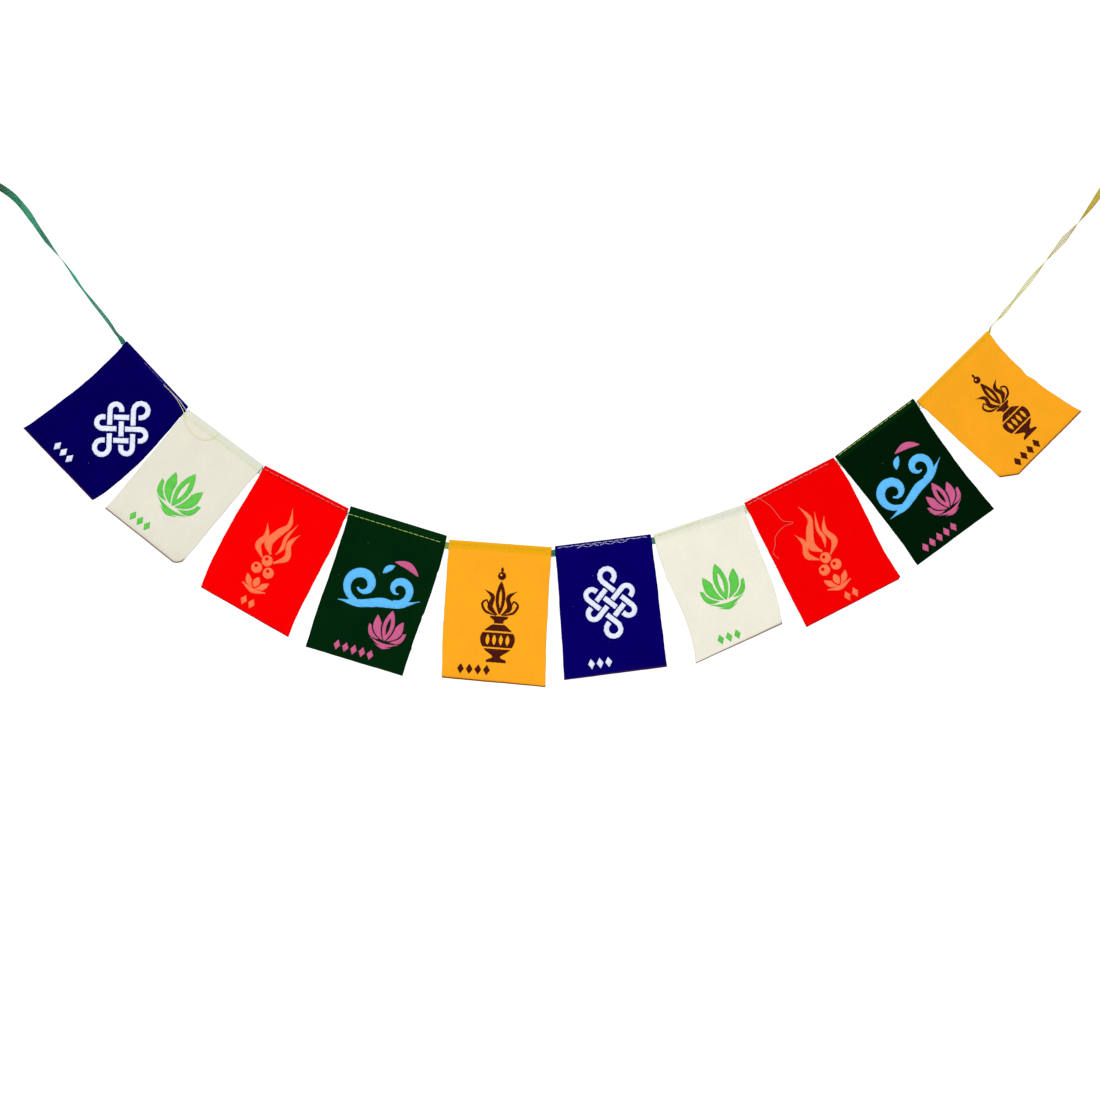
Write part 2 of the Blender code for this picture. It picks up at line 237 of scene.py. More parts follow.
# How far the bottom edge rolls forward at its left and right ends, which bares the cut edge.
ROLLS = {
    "flag_01": (1.6, 1.9), "flag_02": (1.9, 2.2), "flag_03": (0.5, 0.6), "flag_04": (0.6, 0.9),
    "flag_05": (2.2, 0.9), "flag_06": (0.5, 2.3), "flag_07": (0.5, 2.5), "flag_08": (0.4, 0.4),
    "flag_09": (0.4, 0.5), "flag_10": (1.2, 0.9),
}

# Thread ends that were not trimmed: the thread's thickness, how far its middle springs off the
# cloth, and each end's dye and line in x and z.
LOOSE_THICK = 0.34
LOOSE_SPRING = 0.35
LOOSE_THREADS = {
    "loose_thread_01": ("straw", (
        (170.2, -178.3), (175.4, -183.5), (180.6, -190.2), (185.0, -198.3), (185.7, -203.5),
        (188.0, -210.2), (193.1, -216.1), (199.8, -219.0), (205.7, -218.3), (210.9, -214.6),
    )),
    "loose_thread_02": ("chalk", (
        (176.1, -184.3), (181.3, -189.4), (185.7, -195.4), (188.0, -199.1),
    )),
    "loose_thread_08": ("salmon", (
        (599.4, -263.4), (609.0, -262.0), (615.7, -265.7), (620.1, -269.4), (624.6, -275.3),
        (628.3, -279.0), (634.9, -279.7), (635.7, -280.5), (629.7, -282.7), (625.3, -286.4),
        (622.3, -291.6), (622.3, -296.7), (620.9, -302.7), (625.3, -307.1),
    )),
}


def paint(red, green, blue):
    """A colour as it looks on a screen, 0 to 255, as the linear values that a shader takes."""
    def linear(value):
        share = value / 255
        return share / 12.92 if share <= 0.04045 else ((share + 0.055) / 1.055) ** 2.4
    return linear(red), linear(green), linear(blue)


def colour(name, description, shade):
    """A colour that the user may change."""
    return FloatVectorProperty(
        name=name, description=description, subtype="COLOR", size=3, min=0.0, max=1.0,
        default=paint(*shade),
    )


def length(name, description, millimetres):
    """A length that the user may change, kept in metres."""
    return FloatProperty(
        name=name, description=description, subtype="DISTANCE", unit="LENGTH", min=0.0,
        default=millimetres * MM, precision=5,
    )


class VelvetSettings(PropertyGroup):
    """The velvet cloth of the flags."""

    thick: length("Thickness", "The velvet's thickness with its nap", 1.2)
    wobble: length("Cut wobble", "How far the hand-cut sides wander", 0.22)
    ripple: length("Ripple", "How far the panels ripple out of their main curve", 0.35)
    pucker: length("Pucker", "How deep a hem stitch pulls the cloth in", 0.28)
    columns: IntProperty(name="Columns", description="Faces across a flag", default=72, min=8)
    navy: colour("Navy", "Deep blue velvet", (6, 0, 84))
    cream: colour("Cream", "Warm cream velvet", (203, 200, 186))
    red: colour("Red", "Bright red velvet", (210, 1, 2))
    green: colour("Green", "Very dark green velvet", (2, 29, 8))
    amber: colour("Amber", "Golden amber velvet", (215, 144, 27))


class PrintSettings(PropertyGroup):
    """The inks of the printed motifs."""

    lift: length("Lift", "How far the ink stands on the nap", 0.09)
    roughness: length("Rough edge", "How far the ink's edge wanders in the nap", 0.12)
    ice: colour("Ice", "Bluish white ink on navy", (196, 201, 218))
    leaf: colour("Leaf", "Fresh green ink on cream", (80, 170, 63))
    coral: colour("Coral", "Salmon orange ink on red", (216, 103, 64))
    sky: colour("Sky", "Sky blue ink on green", (80, 160, 212))
    mauve: colour("Mauve", "Mauve pink ink on green", (172, 78, 118))
    umber: colour("Umber", "Dark brown ink on amber", (58, 12, 4))


class StitchSettings(PropertyGroup):
    """The hem stitches and loose thread ends."""

    thick: length("Thread", "The sewing thread's diameter", 0.36)
    long: length("Stitch", "The length of one stitch on the surface", 3.6)
    pitch: length("Pitch", "The distance from one stitch to the next", 4.2)
    chalk: colour("Chalk", "Whitish thread", (205, 205, 215))
    salmon: colour("Salmon", "Salmon thread", (205, 95, 80))
    lime: colour("Lime", "Yellow-green thread", (158, 186, 82))
    straw: colour("Straw", "Pale straw thread", (214, 213, 146))
    honey: colour("Honey", "Honey yellow thread", (208, 158, 26))
    lilac: colour("Lilac", "Pale lavender thread", (164, 160, 194))
    dusk: colour("Dusk", "Greyish violet thread", (84, 70, 138))
    olive: colour("Olive", "Yellow-olive thread", (204, 198, 120))
    mint: colour("Mint", "Pale mint thread", (200, 216, 208))


class RibbonSettings(PropertyGroup):
    """The narrow woven ribbon."""

    wide: length("Width", "The ribbon's width", 5.1)
    pitch: length("Open pitch", "From one crossing thread to the next where the weave is open", 1.3)
    open_wide: length("Open thread", "The width of a thread of the open weave", 0.5)
    dense_pitch: length("Dense pitch", "The same distance where the weave is dense", 0.62)
    dense_wide: length("Dense thread", "The width of a thread of the dense weave", 0.6)
    warp_wide: length("Dense warp", "The width of a lengthwise thread of the dense weave", 0.84)
    strand_thick: length("Strand", "The thickness of a thread", 0.24)
    forest: colour("Forest", "The darkest green of the dyed ribbon", (2, 66, 43))
    jade: colour("Jade", "The middle green of the dyed ribbon", (10, 98, 66))
    mint: colour("Mint", "A paler green", (42, 122, 90))
    pine: colour("Pine", "A bluish dark green", (28, 98, 76))
    sea: colour("Sea", "A bluish pale green", (50, 126, 103))
    foam: colour("Foam", "The palest bluish green", (50, 142, 120))
    lime: colour("Lime", "The yellow-green stretch", (140, 164, 30))
    cream: colour("Cream", "The palest stretch", (160, 156, 44))
    olive: colour("Olive", "The olive stretch", (146, 130, 12))
    gold: colour("Gold", "The olive-gold stretch", (160, 140, 48))


class StudioSettings(PropertyGroup):
    """The plain studio round the string."""

    backdrop: FloatProperty(name="Backdrop", description="Brightness of the pale room",
                            default=1.15, min=0.0)
    key: FloatProperty(name="Key light", description="Power of the large soft key light",
                       subtype="POWER", unit="POWER", default=22.0, min=0.0)
    fill: FloatProperty(name="Fill light", description="Power of the low soft fill light",
                        subtype="POWER", unit="POWER", default=5.0, min=0.0)
    distance: length("Camera distance", "How far the camera stands from the flags", 2200.0)
    lens: FloatProperty(name="Lens", description="The camera's focal length in millimetres",
                        default=97.3, min=1.0)
    centre_x: length("View centre", "How far right of the left loop the view is centred", 455.84)
    centre_down: length("View height", "How far below the left loop the view is centred", 300.44)
    floor_down: length("Floor", "How far below the left loop the floor lies", 1500.0)


class PrayerFlagSettings(PropertyGroup):
    """Everything that a user may change on the string."""

    velvet: PointerProperty(type=VelvetSettings)
    prints: PointerProperty(type=PrintSettings)
    stitches: PointerProperty(type=StitchSettings)
    ribbon: PointerProperty(type=RibbonSettings)
    studio: PointerProperty(type=StudioSettings)


def settings():
    """The string's settings."""
    return bpy.context.scene.prayer_flags


def mm(value):
    """A setting's length in millimetres."""
    return value / MM


# The string's own lines, as the solids have them.

def along(tilt):
    """The direction of a line that slopes by tilt degrees, in the string's plane."""
    return Vector((math.cos(math.radians(tilt)), 0.0, math.sin(math.radians(tilt))))


def below(tilt):
    """The direction square to that line, towards the flag's bottom."""
    return Vector((math.sin(math.radians(tilt)), 0.0, -math.cos(math.radians(tilt))))


def flag_starts():
    """Where the ribbon enters each flag, worked along the string from the first one."""
    places = {}
    at = Vector((LEFT_ROUTE[-1][0], 0.0, LEFT_ROUTE[-1][1]))
    before = FLAGS[0]
    for flag in FLAGS:
        slope = (before.tilt + flag.tilt) / 2
        at = at + along(slope) * flag.gap + below(slope) * flag.step
        places[flag.name] = at
        at = at + along(flag.tilt) * flag.top
        before = flag
    return places


STARTS = flag_starts()


def wander(seed, place, long):
    """A smooth uneven value between about -1 and 1 that repeats at no short distance."""
    turn = math.tau * place / long
    slow = math.sin(turn + seed)
    middle = 0.6 * math.sin(2.3 * turn + 2.1 * seed)
    quick = 0.4 * math.sin(5.1 * turn + 3.7 * seed)
    return (slow + middle + quick) / 2


def bowed(share, bow):
    """A side's offset at a share of its length, through its two named offsets and none at its ends."""
    high, low = bow
    return share * (1 - share) * (9 * high - 4.5 * low + 13.5 * (low - high) * share)


def seed_of(flag):
    """A number of the flag's own for its unevenness."""
    return 1.7 * (FLAGS.index(flag) + 1)


def layer_of(flag):
    """The flag's own layer of the cloth's clouded colours, so that no two flags have the same."""
    return 50.0 * FLAGS.index(flag)


def side_length(flag, share):
    """How far the cloth reaches below the fold at a share of the width, a cut corner included."""
    reach = flag.left_long + (flag.right_long - flag.left_long) * share
    trim = TRIMS.get(flag.name)
    if trim:
        bottom = flag.top + flag.left_out + flag.right_out
        from_corner = bottom * (share if trim.side == "left" else 1 - share)
        reach -= trim.up * max(0.0, 1 - from_corner / trim.along) ** trim.bend
    return reach + mm(settings().velvet.wobble) * wander(seed_of(flag) + 9, share, 0.7) / 2


def flag_sides(flag, down):
    """Where the flag's two sides stand along its fold, at a distance below it."""
    left_share = down / flag.left_long
    right_share = down / flag.right_long
    wobble = mm(settings().velvet.wobble) * min(1.0, max(0.0, down / HEM_LONG))
    left = -flag.left_out * left_share + bowed(left_share, flag.left_bow)
    right = flag.top + flag.right_out * right_share + bowed(right_share, flag.right_bow)
    left += wobble * wander(seed_of(flag), down, 46.0)
    right += wobble * wander(seed_of(flag) + 4, down, 38.0)
    for at, out, long in NICKS.get((flag.name, "left"), ()):
        left += out * math.exp(-((down - at) / long) ** 2)
    for at, out, long in NICKS.get((flag.name, "right"), ()):
        right += out * math.exp(-((down - at) / long) ** 2)
    return left, right


def share_at(flag, across, down):
    """The share of the flag's width where a distance along its fold lies."""
    left, right = flag_sides(flag, down)
    return (across - left) / (right - left)


def flag_point(flag, share, down, depth):
    """A point of the flag in space, at a share of its width and a distance below its fold."""
    left, right = flag_sides(flag, down)
    across = left + (right - left) * share
    above = RIBBON_DOWN + flag.fold_up
    place = STARTS[flag.name] + along(flag.tilt) * across + below(flag.tilt) * (down - above)
    place.y += depth
    return place


def pull_of_stitches(flag, share, down):
    """How far the hem stitches draw the cloth's front back, most at each stitch's two ends."""
    pull = 0.0
    pitch = mm(settings().stitches.pitch)
    for seam in SEAMS:
        if seam.flag == flag.name and seam.start - 0.02 <= share <= seam.end + 0.02:
            from_row = (down - seam.down) / PULL_REACH
            place = flag.top * (share - seam.start) / pitch
            ends = 0.55 + 0.45 * math.cos(math.tau * place)
            pull = max(pull, math.exp(-from_row * from_row) * ends)
    return pull * mm(settings().velvet.pucker)


def panel_depth(flag, share, down):
    """The front panel's depth: at the hem it lies before the ribbon, and below it hangs and curls."""
    reach = side_length(flag, share)
    fall = min(1.0, max(0.0, (down - HEM_LONG) / (reach - HEM_LONG)))
    settle = fall * fall * (3 - 2 * fall)
    curl = flag.curl_left + (flag.curl_right - flag.curl_left) * share
    inner = BELLY_MARGIN + (1 - 2 * BELLY_MARGIN) * share
    belly = flag.belly * math.sin(math.pi * fall) * math.sin(math.pi * inner)
    edge = max(0.0, (down - (reach - EDGE_LONG)) / EDGE_LONG)
    left_roll, right_roll = ROLLS[flag.name]
    roll = EDGE_ROLL * curl * edge ** 2 + (left_roll + (right_roll - left_roll) * share) * edge ** 3
    seed = seed_of(flag)
    wave = wander(seed, flag.top * share + 0.35 * down, 61.0) * wander(seed + 2, down, 83.0)
    ripple = mm(settings().velvet.ripple) * wave * min(1.0, 3 * fall)
    depth = -LAYER * (1 - settle) - curl * fall * fall - belly - roll
    return depth + ripple + pull_of_stitches(flag, share, down)


def cloth_front(flag, share, down, lift):
    """A point standing lift proud of the flag's front, on the panel or on the turn of its fold."""
    half = mm(settings().velvet.thick) / 2
    if down >= FOLD_DOWN:
        depth = panel_depth(flag, share, down)
        lower = panel_depth(flag, share, down + SLOPE_STEP) - depth
        beside = panel_depth(flag, share + SLOPE_STEP / flag.top, down) - depth
        slant = math.hypot(1.0, lower / SLOPE_STEP, beside / SLOPE_STEP)
        return flag_point(flag, share, down, depth - (half + lift) * slant)
    reach = LAYER + half + lift
    turn = math.asin(min(1.0, (FOLD_DOWN - down) / reach))
    return flag_point(flag, share, down, -reach * math.cos(turn))


def hem_back(flag, share, down, lift):
    """A point standing lift proud of the folded-back flap, as seen from behind."""
    return flag_point(flag, share, down, LAYER + mm(settings().velvet.thick) / 2 + lift)


def place_on_flag(flag, point):
    """A point of the string's plane in the flag's own measures: share of its width, and down."""
    offset = point - STARTS[flag.name]
    down = offset.dot(below(flag.tilt)) + RIBBON_DOWN + flag.fold_up
    return share_at(flag, offset.dot(along(flag.tilt)), down), down


def smooth_line(points, step):
    """Points about a step apart on a smooth curve through the given ones."""
    line = []
    last = len(points) - 1
    for number in range(last):
        here, there = points[number], points[number + 1]
        leaving = (there - points[max(number - 1, 0)]) / 6
        arriving = (points[min(number + 2, last)] - here) / 6
        pieces = max(2, round((there - here).length / step) + 1)
        curve = interpolate_bezier(here, here + leaving, there - arriving, there, pieces)
        line += curve[:-1]
    line.append(points[-1])
    return line


def reaches_of(line):
    """How far along the line each of its points lies."""
    reached = [0.0]
    for here, there in zip(line, line[1:]):
        reached.append(reached[-1] + (there - here).length)
    return reached


def even_line(line, values, step):
    """The line with its points a step apart, and the values that go with them."""
    reached = reaches_of(line)
    count = max(2, round(reached[-1] / step))
    points, carried = [], []
    here = 0
    for number in range(count + 1):
        want = reached[-1] * number / count
        while here < len(line) - 2 and reached[here + 1] < want:
            here += 1
        part = (want - reached[here]) / (reached[here + 1] - reached[here])
        points.append(line[here].lerp(line[here + 1], part))
        carried.append(values[here] + (values[here + 1] - values[here]) * part)
    return points, carried


def turn_at(share, turns):
    """The ribbon's turn in degrees at a share of its run, between the table's rows."""
    for (start, low), (end, high) in zip(turns, turns[1:]):
        if share <= end:
            part = (share - start) / (end - start)
            return low + (high - low) * part * part * (3 - 2 * part)
    return turns[-1][1]


def left_run():
    """The free ribbon from the left knot to the first flag, with its turns."""
    line = smooth_line([Vector((x, 0.0, z)) for x, z in LEFT_ROUTE], ROUTE_STEP)
    reached = reaches_of(line)
    return line, [turn_at(1 - value / reached[-1], LEFT_TURNS) for value in reached]


def hem_stretches():
    """The ribbon's lines inside the hems and between them, each with whether its weave is dense."""
    stretches = []
    for flag, following in zip(FLAGS, FLAGS[1:] + (None,)):
        course = along(flag.tilt)
        start = STARTS[flag.name] + course * (0.0 if flag is FLAGS[0] else HEM_MOUTH)
        end = STARTS[flag.name] + course * flag.top
        mouth = end - course * (HEM_MOUTH if following else 0.0)
        stretches.append(([start, start.lerp(mouth, 0.5), mouth], False))
        if following:
            there = STARTS[following.name]
            inside = there + along(following.tilt) * HEM_MOUTH
            stretches.append(([mouth, end, there, inside], flag.name in DENSE_AFTER))
    return stretches


def right_run():
    """The free ribbon from the last flag to the right knot, with its turns."""
    last = STARTS[FLAGS[-1].name] + along(FLAGS[-1].tilt) * FLAGS[-1].top
    line = smooth_line([last + Vector((x, 0.0, z)) for x, z in RIGHT_ROUTE], ROUTE_STEP)
    reached = reaches_of(line)
    return line, [turn_at(value / reached[-1], RIGHT_TURNS) for value in reached]


# Making meshes.

def link(item):
    """Puts a new object in the scene."""
    bpy.context.scene.collection.objects.link(item)
    return item


def add_vectors(mesh, name, values):
    """Keeps a vector for each point of the mesh, for its material to read."""
    layer = mesh.attributes.new(name, "FLOAT_VECTOR", "POINT")
    flat = [part for value in values for part in value]
    layer.data.foreach_set("vector", flat)


class Strands:
    """Swept threads, gathered for one joined mesh."""

    def __init__(self):
        self.points = []
        self.faces = []
        self.tags = []

    def sweep(self, line, normals, half_wide, half_thick, sides, number, sizes=None):
        """Adds one thread: a flat oval tube along a line, flat to the normals, with closed ends."""
        first = len(self.points)
        reached = reaches_of(line)
        last = len(line) - 1
        for ring, (point, normal) in enumerate(zip(line, normals)):
            heading = line[min(ring + 1, last)] - line[max(ring - 1, 0)]
            wide = normal.cross(heading).normalized()
            thick = heading.normalized().cross(wide)
            size = sizes[ring] if sizes else 1.0
            for side in range(sides):
                turn = math.tau * side / sides
                offset = wide * half_wide * math.cos(turn) + thick * half_thick * math.sin(turn)
                self.points.append((point + offset * size) * MM)
                self.tags.append((reached[ring], turn, number))
        for ring in range(last):
            for side in range(sides):
                here = first + ring * sides + side
                beside = first + ring * sides + (side + 1) % sides
                self.faces.append((here, beside, beside + sides, here + sides))
        self.faces.append(tuple(first + side for side in reversed(range(sides))))
        self.faces.append(tuple(first + last * sides + side for side in range(sides)))

    def item(self, name, material):
        """The finished object of all its threads."""
        mesh = bpy.data.meshes.new(name)
        mesh.from_pydata(self.points, [], self.faces)
        add_vectors(mesh, "strand", self.tags)
        mesh.materials.append(material)
        mesh.shade_smooth()
        mesh.set_sharp_from_angle(angle=math.radians(70))
        return link(bpy.data.objects.new(name, mesh))


# Materials.

class Nodes:
    """A material's nodes, made and joined by short calls."""

    def __init__(self, name):
        self.material = bpy.data.materials.new(name)
        self.material.use_nodes = True
        self.tree = self.material.node_tree
        self.shader = self.tree.nodes["Principled BSDF"]

    def add(self, kind, **values):
        """A new node with its own settings."""
        node = self.tree.nodes.new(kind)
        for key, value in values.items():
            setattr(node, key, value)
        return node

    def feed(self, node, socket, value):
        """Gives a socket a value, or the output that another node has for it."""
        if isinstance(value, bpy.types.NodeSocket):
            self.tree.links.new(value, node.inputs[socket])
        elif node.inputs[socket].type == "RGBA":
            node.inputs[socket].default_value = (*value, 1.0)
        else:
            node.inputs[socket].default_value = value

    def attribute(self, name):
        """A vector kept on the mesh."""
        return self.add("ShaderNodeAttribute", attribute_name=name).outputs["Vector"]

    def split(self, vector):
        """The three parts of a vector."""
        node = self.add("ShaderNodeSeparateXYZ")
        self.feed(node, 0, vector)
        return node.outputs

    def scaled(self, vector, by):
        """A vector stretched along its three parts."""
        node = self.add("ShaderNodeVectorMath", operation="MULTIPLY")
        self.feed(node, 0, vector)
        self.feed(node, 1, by)
        return node.outputs[0]

    def noise(self, vector, scale, detail=3.0, rough=0.55):
        """A cloudy value about one half."""
        node = self.add("ShaderNodeTexNoise")
        self.feed(node, "Vector", vector)
        self.feed(node, "Scale", scale)
        self.feed(node, "Detail", detail)
        self.feed(node, "Roughness", rough)
        return node.outputs["Fac"]

    def math(self, operation, first, second=0.0):
        """One sum on two values."""
        node = self.add("ShaderNodeMath", operation=operation)
        self.feed(node, 0, first)
        self.feed(node, 1, second)
        return node.outputs[0]

    def between(self, value, low, high, start=0.0, end=1.0, ease="SMOOTHSTEP"):
        """The value's place between two others, held to its ends."""
        node = self.add("ShaderNodeMapRange", interpolation_type=ease)
        self.feed(node, "Value", value)
        self.feed(node, "From Min", low)
        self.feed(node, "From Max", high)
        self.feed(node, "To Min", start)
        self.feed(node, "To Max", end)
        return node.outputs["Result"]

    def mix(self, share, first, second, blend="MIX"):
        """Two colours mixed by a share."""
        node = self.add("ShaderNodeMix", data_type="RGBA", blend_type=blend)
        self.feed(node, "Factor", share)
        self.feed(node, 6, first)
        self.feed(node, 7, second)
        return node.outputs[2]

    def lit(self, tone, by):
        """A colour made darker or lighter by a factor."""
        scale = self.add("ShaderNodeVectorMath", operation="SCALE")
        self.feed(scale, 0, tone)
        self.feed(scale, "Scale", by)
        return scale.outputs[0]

    def shaded(self, tone, value, low, high):
        """A colour made darker and lighter as a value goes from nought to one."""
        return self.lit(tone, self.between(value, 0.25, 0.75, low, high))

    def bump(self, height, strength, distance, under=None):
        """A fine relief."""
        node = self.add("ShaderNodeBump")
        self.feed(node, "Height", height)
        self.feed(node, "Strength", strength)
        self.feed(node, "Distance", distance)
        if under:
            self.feed(node, "Normal", under)
        return node.outputs["Normal"]

    def finish(self, tone, rough, normal, gloss=0.1, sheen=0.0, sheen_tint=(1.0, 1.0, 1.0)):
        """Gives the shader its colour, gloss, nap sheen and relief."""
        self.feed(self.shader, "Base Color", tone)
        self.feed(self.shader, "Roughness", rough)
        self.feed(self.shader, "Normal", normal)
        self.feed(self.shader, "Specular IOR Level", gloss)
        self.feed(self.shader, "Sheen Weight", sheen)
        self.feed(self.shader, "Sheen Roughness", 0.4)
        self.feed(self.shader, "Sheen Tint", sheen_tint)
        return self.material


# The colours of the hem band, of the painted shadow that browns the cut bottom edge, and of the nap's
# own sheen.
HEM_TINTS = {
    "navy": (9, 3, 82),
    "cream": (182, 186, 171),
    "red": (190, 3, 6),
    "green": (4, 34, 10),
    "amber": (196, 142, 12),
}
BOTTOM_SHADOW_TONES = {
    "navy": (52, 26, 52),
    "cream": (112, 92, 84),
    "red": (118, 4, 20),
    "green": (16, 36, 20),
    "amber": (96, 42, 10),
}
NAP_TINTS = {
    "navy": (0.10, 0.05, 0.9),
    "cream": (0.9, 0.88, 0.78),
    "red": (1.0, 0.05, 0.03),
    "green": (0.05, 0.45, 0.18),
    "amber": (1.0, 0.6, 0.1),
}

# How much the brushed patches of the nap vary, the most on the dyes that show it, how far a cut
# side is darkened beside the face as painted shade, and the pitch of the woven back in millimetres.
BRUSHED = {"navy": 0.08, "cream": 0.025, "red": 0.03, "green": 0.10, "amber": 0.03}
PAINTED_SIDE_SHADE = 0.8
BACK_WEAVE = 0.62


def velvet_material(dye):
    """The velvet's face: short nap, brushed patches, a tinted hem band and painted shade at its cut
    edges.
    """
    tone = getattr(settings().velvet, dye)
    nodes = Nodes("velvet_" + dye)
    cloth = nodes.attribute("cloth")
    marks = nodes.split(nodes.attribute("marks"))
    shade, bottom = nodes.split(nodes.attribute("edges"))[:2]
    varies = BRUSHED[dye]
    brushed = nodes.noise(nodes.scaled(cloth, (0.9, 0.55, 1.0)), 0.07, 4.0, 0.6)
    streaks = nodes.noise(nodes.scaled(cloth, (2.6, 0.6, 1.0)), 0.5, 3.0, 0.6)
    fibres = nodes.noise(cloth, 3.1, 2.0, 0.7)
    base = nodes.lit(tone, shade)
    base = nodes.shaded(base, brushed, 1 - varies, 1 + varies)
    base = nodes.shaded(base, streaks, 1 - varies, 1 + varies)
    base = nodes.shaded(base, fibres, 0.88, 1.12)
    tint = paint(*HEM_TINTS[dye])
    uneven = nodes.math("MULTIPLY", marks[0], nodes.between(streaks, 0.2, 0.7, 0.75, 1.0))
    base = nodes.mix(uneven, base, tint)
    # Painted shade: the face darkens within about 0.8 mm of its cut edges, broken up by the nap, and
    # browns there along the bottom as painted shadow.
    edge_shade_mask = nodes.between(marks[1], 0.8, 0.1)
    edge_shade_mask = nodes.math("MULTIPLY", edge_shade_mask, nodes.between(fibres, 0.3, 0.6, 0.15, 0.7))
    base = nodes.mix(edge_shade_mask, base, edge_shade_tone(nodes, base, bottom, dye))
    nap = nodes.math("ADD", nodes.math("MULTIPLY", fibres, 0.7), streaks)
    relief = nodes.bump(nap, 0.5, 0.00022)
    relief = nodes.bump(nodes.noise(cloth, 6.5, 1.0, 0.5), 0.35, 0.0001, relief)
    return nodes.finish(base, 0.92, relief, 0.0, 0.05, NAP_TINTS[dye])


def edge_shade_tone(nodes, cloth_tone, bottom, dye):
    """The cut edge's painted shade: a little darker than the cloth, and browned along the bottom as
    painted shadow.
    """
    return nodes.mix(bottom, nodes.lit(cloth_tone, PAINTED_SIDE_SHADE), paint(*BOTTOM_SHADOW_TONES[dye]))


def backing_material(dye):
    """The velvet's plain woven back."""
    tone = getattr(settings().velvet, dye)
    nodes = Nodes("backing_" + dye)
    cloth = nodes.attribute("cloth")
    across, down = nodes.split(cloth)[:2]
    pace = math.tau / BACK_WEAVE
    warp = nodes.math("SINE", nodes.math("MULTIPLY", across, pace))
    weft = nodes.math("SINE", nodes.math("MULTIPLY", down, pace))
    weave = nodes.math("MULTIPLY", warp, weft)
    raised = nodes.math("ADD", nodes.math("MULTIPLY", weave, 0.5), 0.5)
    slubs = nodes.noise(nodes.scaled(cloth, (0.25, 2.4, 1.0)), 0.7, 2.0, 0.6)
    patches = nodes.noise(cloth, 0.07, 3.0, 0.6)
    dull = tuple(part * 0.78 + 0.012 for part in tone)
    # Painted shade: the weave's low points are darkened in colour, besides being lower in the relief.
    base = nodes.shaded(dull, raised, 0.82, 1.12)
    base = nodes.shaded(base, slubs, 0.88, 1.1)
    base = nodes.shaded(base, patches, 0.92, 1.06)
    relief = nodes.bump(raised, 0.6, 0.00016)
    relief = nodes.bump(slubs, 0.25, 0.0002, relief)
    return nodes.finish(base, 0.88, relief, 0.12, 0.05)


def raw_edge_material(dye):
    """The cut edge with its broken nap ends, darker than the face as painted shade and browned along
    the bottom as painted shadow.
    """
    nodes = Nodes("raw_edge_" + dye)
    cloth = nodes.attribute("cloth")
    shade, bottom = nodes.split(nodes.attribute("edges"))[:2]
    ends = nodes.noise(cloth, 2.6, 2.0, 0.7)
    base = nodes.lit(getattr(settings().velvet, dye), shade)
    # Painted shade: the rim is darkened beside the face, and browned near the bottom as painted
    # shadow.
    base = nodes.shaded(edge_shade_tone(nodes, base, bottom, dye), ends, 0.75, 1.25)
    relief = nodes.bump(ends, 0.7, 0.0003)
    return nodes.finish(base, 0.95, relief, 0.0)


def ink_material(ink, dye):
    """Screen-printed ink pressed into the nap, thin enough for the velvet to speckle through."""
    tone = getattr(settings().prints, ink)
    ground = getattr(settings().velvet, dye)
    nodes = Nodes("ink_" + ink)
    cloth = nodes.attribute("cloth")
    grain = nodes.noise(cloth, 2.3, 3.0, 0.65)
    patches = nodes.noise(cloth, 0.22, 2.0, 0.6)
    base = nodes.shaded(tone, patches, 0.93, 1.05)
    base = nodes.shaded(base, grain, 0.90, 1.06)
    thin = nodes.between(nodes.noise(cloth, 1.25, 3.0, 0.75), 0.60, 0.74, 0.0, 0.6)
    base = nodes.mix(thin, base, ground)
    relief = nodes.bump(grain, 0.45, 0.00015)
    return nodes.finish(base, 0.75, relief, 0.05, 0.02)


def thread_material(thread):
    """Twisted sewing thread."""
    tone = getattr(settings().stitches, thread)
    nodes = Nodes("thread_" + thread)
    run, turn = nodes.split(nodes.attribute("strand"))[:2]
    twist = nodes.math("SINE", nodes.math("ADD", nodes.math("MULTIPLY", run, 9.0), turn))
    ply = nodes.math("ADD", nodes.math("MULTIPLY", twist, 0.5), 0.5)
    # Painted shade: the twist's grooves are darkened in colour, besides being lower in the relief.
    base = nodes.shaded(tone, ply, 0.80, 1.08)
    relief = nodes.bump(ply, 0.5, 0.0001)
    return nodes.finish(base, 0.55, relief, 0.3, 0.1)


def fibre_material(name, tone):
    """Loose fibres of one dye."""
    found = bpy.data.materials.get("fibres_" + name)
    if found:
        return found
    nodes = Nodes("fibres_" + name)
    strand = nodes.attribute("strand")
    uneven = nodes.noise(strand, 2.0, 1.0, 0.5)
    base = nodes.shaded(tone, uneven, 0.8, 1.25)
    relief = nodes.bump(uneven, 0.2, 0.00005)
    return nodes.finish(base, 0.8, relief, 0.1, 0.1)


# Where along x, in millimetres, each of the ribbon's dyed stretches is at its strongest.
RIBBON_DYES = (
    (0, "forest"), (52, "forest"), (58, "jade"), (63, "jade"), (68, "mint"), (76, "mint"),
    (79, "pine"), (84, "pine"), (89, "sea"), (96, "foam"), (110, "foam"), (115, "sea"),
    (128, "sea"), (132, "pine"), (238, "foam"), (248, "foam"), (303, "cream"), (312, "jade"),
    (372, "jade"), (379, "lime"), (392, "jade"), (525, "jade"), (538, "sea"), (600, "lime"),
    (665, "cream"), (732, "cream"), (827, "cream"), (834, "olive"), (844, "olive"), (854, "gold"),
)


